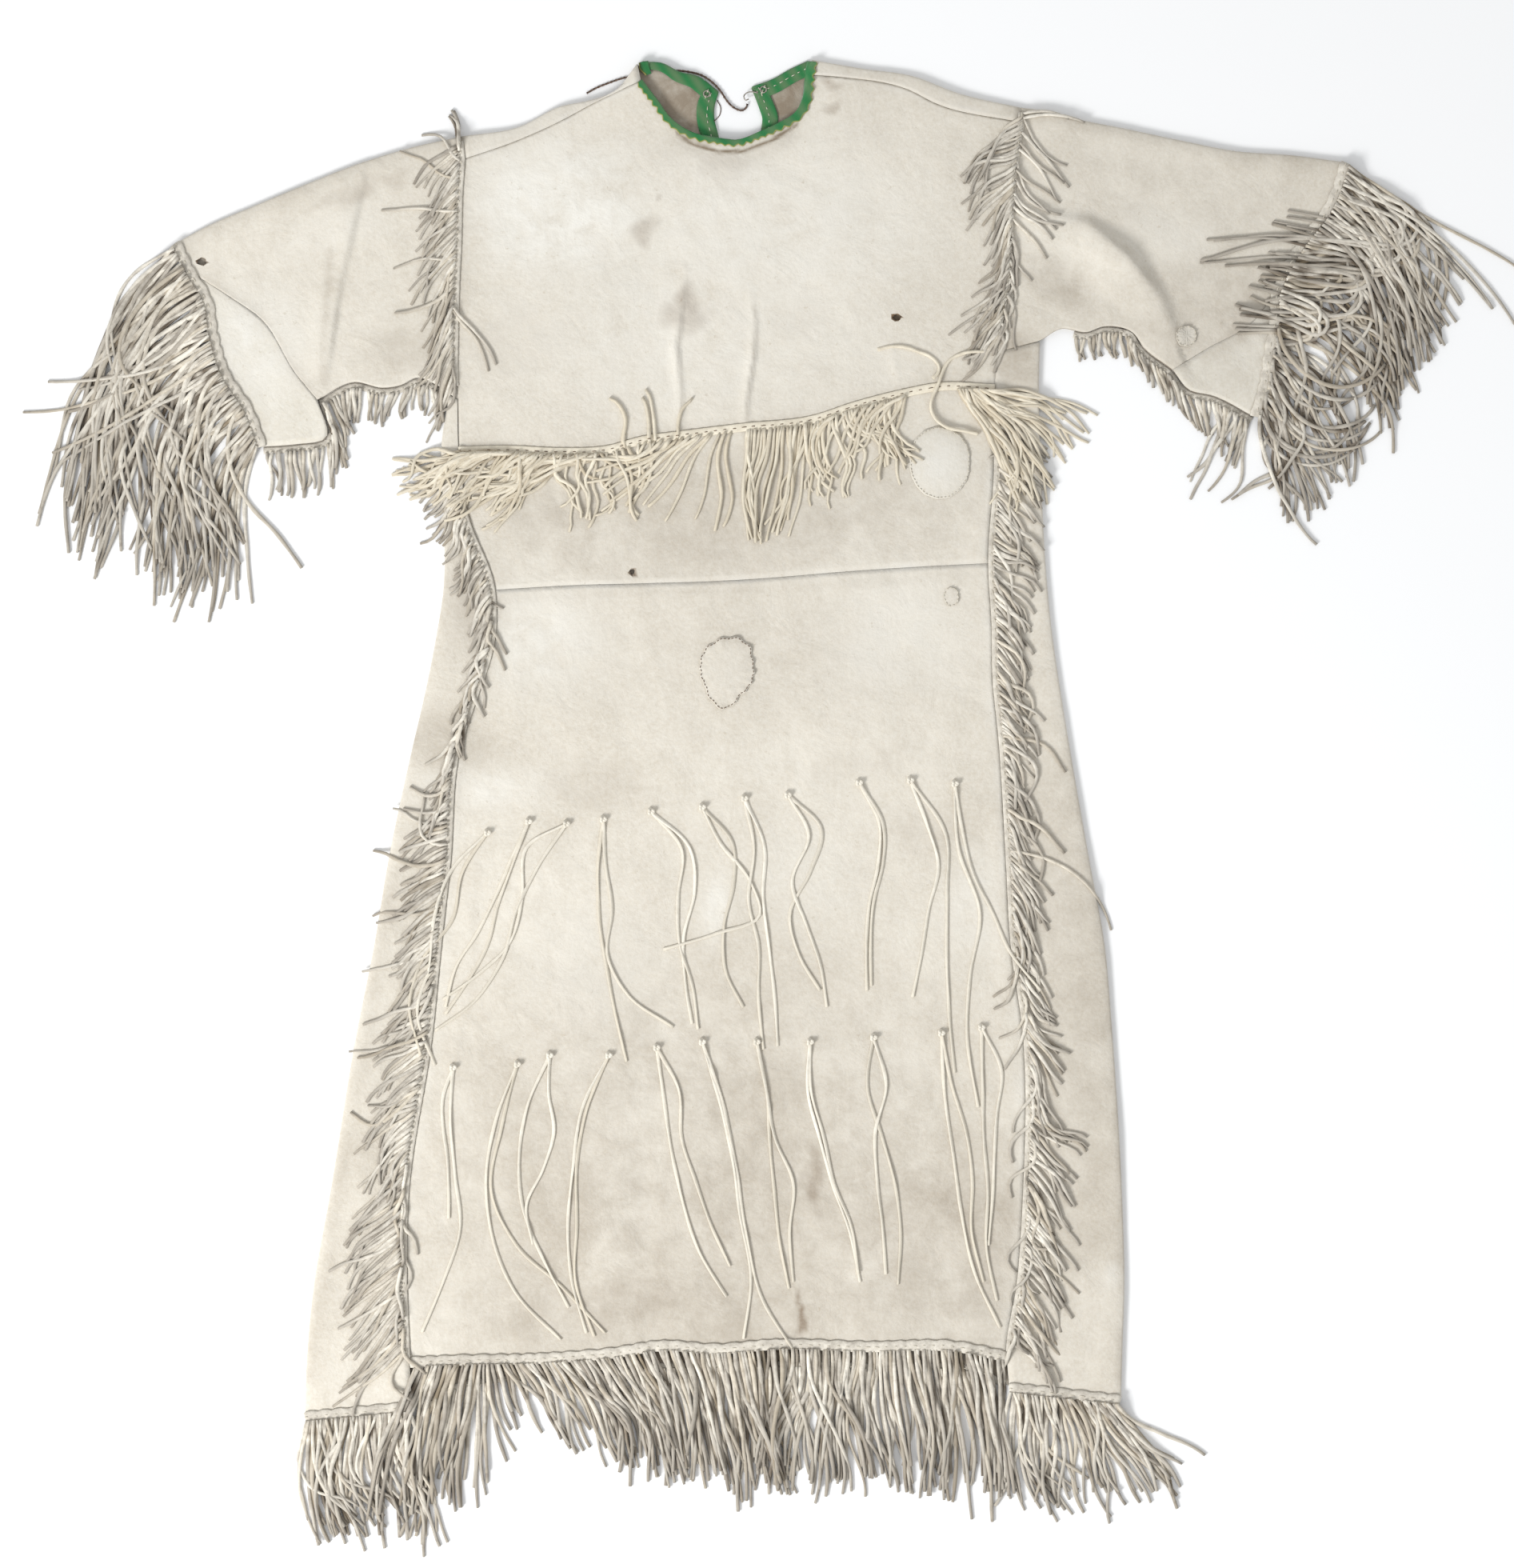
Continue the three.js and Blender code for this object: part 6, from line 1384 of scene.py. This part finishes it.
for name, (x, y) in EYES.items():
    builder = Builder()
    wire_ring(builder, x, y, EYE_RADIUS)
    for angle in EYE_THREADS["angles"]:
        out = np.array([math.cos(angle), math.sin(angle)])
        path = equal_steps([(x, y) + out * reach for reach in EYE_THREADS["reach"]], STITCH_STEPS)
        radius, arch = EYE_THREADS["radius"], EYE_THREADS["arch"]
        z = top_of([(x, y)], EYE_RADIUS)[0] + REST + WIRE + radius
        rise = np.sin(np.linspace(0, math.pi, STITCH_STEPS + 1)) * arch
        builder.add(*tube(np.column_stack([path, z - arch + rise]), radius, radius), THREAD_TONE, 1)
    builder.make(name + "_ring", [MATERIALS["wire"], MATERIALS["thread"]], [name])
builder = Builder()
hook_path = smooth(HOOK, 48)
builder.add(*tube(hook_path, WIRE / 2, WIRE / 2, WIRE_SIDES))
builder.make("neck_hook_wire", [MATERIALS["wire"]], ["neck_hook"])


# Patches, crowned a little and puckered where they are sewn down
PATCH_ROWS = (0, 0.2, 0.4, 0.58, 0.72, 0.83, 0.91, 0.96, 1)  # shares of the way to the edge
PATCH_STITCH = {"pitch": 3.4, "length": 1.9, "radius": 0.3}


def patch(name, spec):
    middle, gather, crown = spec["middle"], spec["gather"], spec["crown"]
    outline = np.array(spec["outline"], float)
    around = 96
    angle = np.arange(around) * math.tau / around
    corner_angle = np.arctan2(outline[:, 1], outline[:, 0])
    reach = np.interp(angle, corner_angle, np.hypot(*outline.T), period=math.tau)
    kernel = np.hanning(11) / np.hanning(11).sum()
    reach = np.convolve(np.concatenate([reach[-5:], reach, reach[:5]]), kernel, mode="valid")
    wave = np.cos(spec["puckers"] * angle + 1.2 * np.sin(2 * angle))
    rows = []
    for share in PATCH_ROWS:
        size = reach * share * (1 + gather * wave * share ** 4)
        plan = ring(middle, size, size, angle)
        z = top_of(plan, 4.0) + REST + BAND / 2 + crown * (1 - share ** 4)
        z += 15 * gather * (wave + 1) * share ** 6 * min(crown, 1)
        row = np.column_stack([plan, z])
        if share == 0:
            row[:] = row.mean(axis=0)
        rows.append(np.concatenate([row, row[:1]]))
    grid = np.array(rows)
    builder = Builder()
    points, faces = shell([grid], BAND)
    away = np.hypot(points[:, 0] - middle[0], points[:, 1] - middle[1]) / reach.max()
    worn = 0.06 + 0.3 * np.clip(away - 0.7, 0, 1)
    builder.add(points, faces, tones(len(points), 0, worn, spec["chalk"] * np.clip(1.2 - away, 0, 1)))
    ground.add_grid(grid, BAND)
    stitches(builder, grid[-2, :, :2], PATCH_STITCH, look=spec["thread"], seed=len(name))
    looks = [MATERIALS[look] for look in (spec["hide"], "thread", "dark_thread")]
    builder.make(name + "_piece", looks, [name])


for name, spec in PATCHES.items():
    patch(name, spec)


# Fringes
STRIP_SINK = 0.3
STRIP_STEP = 4
STRIP_SIDES = 12
STRAND_SIDES = 7
STRIP_STITCH = {"pitch": 8.5, "length": 3.4, "radius": 0.32}
GAP_REACH = 3.0  # strands that lie this near and higher darken a strand with painted shade
GAP_FREE = 1.7  # how much higher they may be before it shows
GAP_DEPTH = 3.6  # and how much higher again where it is darkest
# how strongly painted shade darkens a strand deep in a gap
GAP_PAINTED_SHADE = 0.95
STRAY_PLACE = 0.42  # how far a root may be from its even place, in shares of a place
THICKNESS = (0.82, 1.18)  # of a strand, as a share of its diameter
FLATNESS = (0.72, 1)  # its height, as a share of its width
SHADE = {"middle": 0.8, "spread": 0.15, "darkest": 0.25}
PILE = 13.0  # the most that strands pile up over the hide under them
SLOPE = 0.6  # the steepest that a strand climbs over what it crosses


def draped(floor, step):
    """The lowest line over a floor that climbs no steeper than a strand can."""
    line = floor.copy()
    for k in range(1, len(line)):
        line[k] = max(line[k], line[k - 1] - SLOPE * step)
    for k in range(len(line) - 2, -1, -1):
        line[k] = max(line[k], line[k + 1] - SLOPE * step)
    return np.convolve(np.pad(line, 1, mode="edge"), (0.25, 0.5, 0.25), mode="valid")


def lay(plan, radius, hard, start=None):
    """Heights of a strand's underside along its plan."""
    step = np.linalg.norm(plan[1] - plan[0])
    under = hard[ground.index(plan)]
    soft = ground.under(plan, radius * 0.6)
    floor = under + PILE * (1 - np.exp(-np.maximum(soft - under, 0) / PILE))
    if start is not None:
        floor[0] = max(floor[0], start)
    return draped(floor, step)


LOCK = 9  # strands that fall alike
WAVES = ((0.5, 1), (1.1, 0.6), (2.1, 0.26), (3.7, 0.08))  # turns along a strand, and their share


def wave_set(rng):
    return [(rng.uniform(0, math.tau), rng.normal(0, 1)) for _ in WAVES]


def wave_line(waves, t):
    line = np.zeros(len(t))
    for (turns, share), (phase, size) in zip(WAVES, waves):
        line += size * share * (np.sin(math.tau * turns * t + phase) - math.sin(phase) * (1 - t) ** 2)
    return line


def strand_plan(rng, root, heading, falls, length, row, locks, at):
    """A strand in plan, from its root, bent with the lock of strands around it."""
    count = int(np.clip(length / 6, 8, 30))
    t = (np.arange(count) + 0.5) / count
    place = at * (len(locks) - 1)
    low = min(int(place), len(locks) - 2)
    near = place - low
    shared = wave_line(locks[low], t) * (1 - near) + wave_line(locks[low + 1], t) * near
    own = wave_line(wave_set(rng), t)
    turned = 1 - (1 - t) ** row["curl"]
    if row["turn"]:
        start, end = row["turn"]
        turned = np.clip((t - start) / (end - start), 0, 1)
        turned = turned ** 2 * (3 - 2 * turned)
    angle = heading + (falls - heading) * turned + row["bend"] * (0.9 * shared + 0.32 * own)
    step = length / count
    run = np.column_stack([np.cos(np.radians(angle)), np.sin(np.radians(angle))]) * step
    return np.concatenate([[root], root + np.cumsum(run, axis=0)])


def fringe_strip(builder, line, side, bottom, shade, scallop, width, thickness):
    """The strip that a fringe is cut from, with an uneven edge. Gives its middle line."""
    z = draped(np.maximum(top_of(line, width / 2 - 0.5), bottom), STRIP_STEP)
    phase = np.arange(len(line))
    half = width / 2 * (1 + scallop * (np.abs(np.sin(phase * 0.9 + np.sin(phase * 0.23))) - 0.5))
    strip = np.column_stack([line, z + REST + thickness - STRIP_SINK])
    strip[:, :2] = beside(line, -side * (half - width / 2))
    builder.add(*tube(strip, half, thickness, STRIP_SIDES), (shade, 0, 0.3))
    ground.add_line(strip, width / 2 - 1, thickness)
    return strip


def fringe(name, line, side, bottom=0.0, look="fringe", scallop=0.0, width=STRIP_WIDTH, thickness=0.85):
    """A strip along a line, and strands from its left side or its right (1 or -1), laid one by one."""
    spec = FRINGES[name]
    cream = look == "cream"
    rng = np.random.default_rng(SEED + sum(name.encode()))
    line = equal_steps(line, max(int(length_of(line) / STRIP_STEP), 12))
    builder = Builder()
    strip = fringe_strip(builder, line, side, bottom, 0.9 if cream else 0.72, scallop, width, thickness)
    hard = ground.height.copy()
    normal = beside(line, 1) - line
    diameter = spec["diameter"]
    laid = []
    for row in spec["rows"]:
        guides, count = row["guides"], row["count"]
        locks = [wave_set(rng) for _ in range(count // LOCK + 2)]
        for k in rng.permutation(count):
            share = (k + 0.5 + rng.uniform(-STRAY_PLACE, STRAY_PLACE)) / count
            at = row["first"] + (row["last"] - row["first"]) * share
            heading, falls, length = (np.interp(at, guides[:, 0], guides[:, c]) for c in (1, 2, 3))
            heading = heading + row["stray"] * rng.normal(0, 0.7)
            falls = falls + row["stray"] * 1.3 * rng.normal(0, 1)
            length = length * (1 + rng.normal(0, row["spread"]))
            here = at * (len(line) - 1)
            low = int(min(here, len(line) - 2))
            root = line[low] + (line[low + 1] - line[low]) * (here - low)
            root = root + normal[low] * side * (width / 2 - 1.4)
            plan = strand_plan(rng, root, heading, falls, length, row, locks, share)
            radius = diameter / 2 * rng.uniform(*THICKNESS)
            height = lay(plan, radius, hard, strip[low, 2] - 0.6)
            t = np.linspace(0, 1, len(plan))
            taper = np.minimum(0.72 + 0.28 * t / 0.08, 1) * (1 - 0.3 * t ** 3)
            flat = rng.uniform(*FLATNESS)
            path = np.column_stack([plan, height + radius * flat * 0.9])
            twist = rng.uniform(0, math.tau) + rng.normal(0, 2.2) * t
            beat = 1 + 0.1 * np.sin(t * length / 5 + rng.uniform(0, 6))
            wide, high = radius * taper * beat, radius * flat * taper / beat
            points, faces = tube(path, wide, high, STRAND_SIDES, 0.35 * np.sin(twist))
            ground.add_line(path, radius * 0.75, radius * flat * 0.7)
            shade = rng.normal(SHADE["middle"] - spec.get("soil", 0), SHADE["spread"])
            shade = np.clip(shade, SHADE["darkest"], 1)
            hue = rng.uniform(0, 1)
            laid.append((path, points, faces, t, shade, hue))
    # Painted shade: each strand is darkened where strands near it lie higher, as in a shaded gap
    for path, points, faces, t, shade, hue in laid:
        over = ground.under(path, GAP_REACH) - path[:, 2] - GAP_FREE
        depth = np.clip(over / (GAP_DEPTH * spec.get("gap", 1)), 0, 1)
        tone = tones(len(t), shade * (1 - GAP_PAINTED_SHADE * depth), t, hue)
        builder.add(points, faces, np.repeat(tone, STRAND_SIDES, axis=0))
    looks = [MATERIALS[look], MATERIALS["dark_thread" if cream else "thread"]]
    stitches(builder, strip[:, :2], STRIP_STITCH, look=1, seed=len(name), lift=0.0)
    builder.make(name + "_strands", looks, [name])


def without_start(line, length):
    return line[stations(line) >= length]


def hem_line(side):
    fold, seam = GORE[side]["hem"]
    return equal_steps([fold, seam] if side == "left" else [seam, fold], 24)


def armhole_line(side, shift):
    line = chain(equal_steps([fold_end[side], ARMHOLE[side][0]], 4), armhole[side])
    return cut(line, fold_end[side][1] - 4, ARMHOLE[side][-1][1] + 12) + (shift, 0)


EDGE_STRIP = {"scallop": 0.16, "width": 9.5, "thickness": 1.1}
EDGE_IN = 1.2  # the middle of such a strip lies this far outside the edge that it covers
cuff = {side: sleeve_lines(side)["cuff"] for side in SLEEVE}
under = {side: sleeve_lines(side)["under"] for side in SLEEVE}
fringe("hem_fringe_back", beside(smooth(HEM_BACK, 120)[2:-2], -EDGE_OFFSET), -1)
fringe("hem_fringe_left", beside(hem_line("left"), -EDGE_IN), -1, **EDGE_STRIP)
fringe("hem_fringe_right", beside(hem_line("right"), -EDGE_IN), -1, **EDGE_STRIP)
fringe("hem_fringe_front", beside(smooth(HEM_FRONT, 130), -EDGE_IN), -1, bottom=FRONT_Z, **EDGE_STRIP)
fringe("underarm_fringe_left", beside(without_start(under["left"], 18), EDGE_OFFSET), 1)
fringe("underarm_fringe_right", beside(without_start(under["right"], 72), -EDGE_OFFSET), -1)
fringe("cuff_fringe_left", beside(cuff["left"], -EDGE_IN), -1, **EDGE_STRIP)
fringe("cuff_fringe_right", beside(cuff["right"], EDGE_IN), 1, **EDGE_STRIP)
fringe("side_fringe_left", beside(cut(gore_edge["left"], 320, -494), -2), -1)
fringe("side_fringe_right", beside(cut(gore_edge["right"], 376, -488), 2), 1)
fringe("armhole_fringe_left", armhole_line("left", -1), -1)
fringe("armhole_fringe_right", armhole_line("right", 0), 1)
fringe("waist_fringe", beside(smooth(WAIST, 120), -3), -1, look="cream", width=7.5)


# Thongs tied through the skirt in pairs
def knot(builder, x, y, z, size, seed):
    """A small overhand knot: a loop of thong that turns over itself."""
    rng = np.random.default_rng(SEED + seed)
    t = np.linspace(0, 1, 34)
    angle = rng.uniform(0, math.tau) + t * math.tau * 1.6
    radius = size * (0.75 + 0.25 * np.cos(3 * angle))
    rise = size * 0.55 * np.sin(2 * angle + t * 3)
    path = np.column_stack([ring((x, y), radius, radius, angle), z + rise])
    builder.add(*tube(path, size * 0.62, size * 0.52, THONG_SIDES), (0.8, 0.1, 0.4))


def thong_pair(name, spec):
    middle, *tails = spec
    rng = np.random.default_rng(SEED + sum(name.encode()))
    builder = Builder()
    middle = np.array(middle, float)
    base = top_of(middle[None], 4)[0]
    hard = ground.height.copy()
    for target, bows in tails:
        run = np.array(target, float) - middle
        length = np.linalg.norm(run)
        left = np.array([-run[1], run[0]]) / length
        inner = [middle + run * (k + 1) / 5 + left * bow for k, bow in enumerate(bows)]
        count = int(length / 4)
        plan = smooth([middle, *inner, target], count)
        wobble = 0.5 * wave_line(wave_set(rng), np.linspace(0, 1, count + 1))
        plan = plan + left * (wobble * np.sin(np.linspace(0, math.pi, count + 1)))[:, None]
        height = lay(plan, THONG_WIDTH / 2, hard, base)
        t = np.linspace(0, 1, count + 1)
        uneven = 1 + 0.12 * np.sin(t * length / 9 + rng.uniform(0, 6))
        half = THONG_WIDTH / 2 * (1 - 0.15 * t) * uneven
        turn = 0.5 * np.sin(t * length / 28 + rng.uniform(0, 6)) + 0.25 * np.sin(t * length / 11)
        path = np.column_stack([plan, height + 0.85 + 0.4 * np.abs(np.sin(turn))])
        along = np.repeat(t * 0.8, THONG_SIDES)
        shade = np.clip(rng.normal(0.72, 0.12), 0.3, 1)
        tone = tones(len(along), shade, along, rng.uniform(0, 0.8))
        builder.add(*tube(path, half, THONG_THICKNESS / 2, THONG_SIDES, turn), tone)
        ground.add_line(path, THONG_WIDTH / 2 - 0.6, 0.7)
    knot(builder, *middle, base + 2.2, 2.4, len(name))
    builder.make(f"thongs_{name}_tails", [MATERIALS["thong"]], [f"thongs_{name}"])


for name, spec in THONGS.items():
    thong_pair(name, spec)


# Table and light
HALF_FLOOR = 6.0
corners = [(x * HALF_FLOOR, y * HALF_FLOOR, 0) for x, y in ((-1, -1), (1, -1), (1, 1), (-1, 1))]
floor_mesh = bpy.data.meshes.new("floor")
floor_mesh.from_pydata(corners, [], [(0, 1, 2, 3)])
floor_look = Look("floor", 0.9)
paper = floor_look.noise(3, detail=2)
floor_mesh.materials.append(floor_look.done(floor_look.mix(paper, (0.9, 0.9, 0.9), (0.91, 0.91, 0.91))))
placed("floor", floor_mesh)

world = bpy.data.worlds.new("world")
world.use_nodes = True
sky = world.node_tree.nodes["Background"].inputs
sky["Color"].default_value = (0.97, 0.985, 1, 1)
sky["Strength"].default_value = 0.72
bpy.context.scene.world = world
bpy.context.scene.view_settings.view_transform = "Standard"


def lamp(name, place, size, power):
    data = bpy.data.lights.new(name, "AREA")
    data.size = size
    data.energy = power
    light = placed(name, data)
    light.location = place
    aim = -np.array(place, float)
    flat = math.hypot(aim[0], aim[1])
    light.rotation_euler = (math.atan2(flat, -aim[2]), 0, math.atan2(aim[1], aim[0]) - math.pi / 2)


lamp("key", (-2.4, -2.2, 2.5), 1.3, 150)
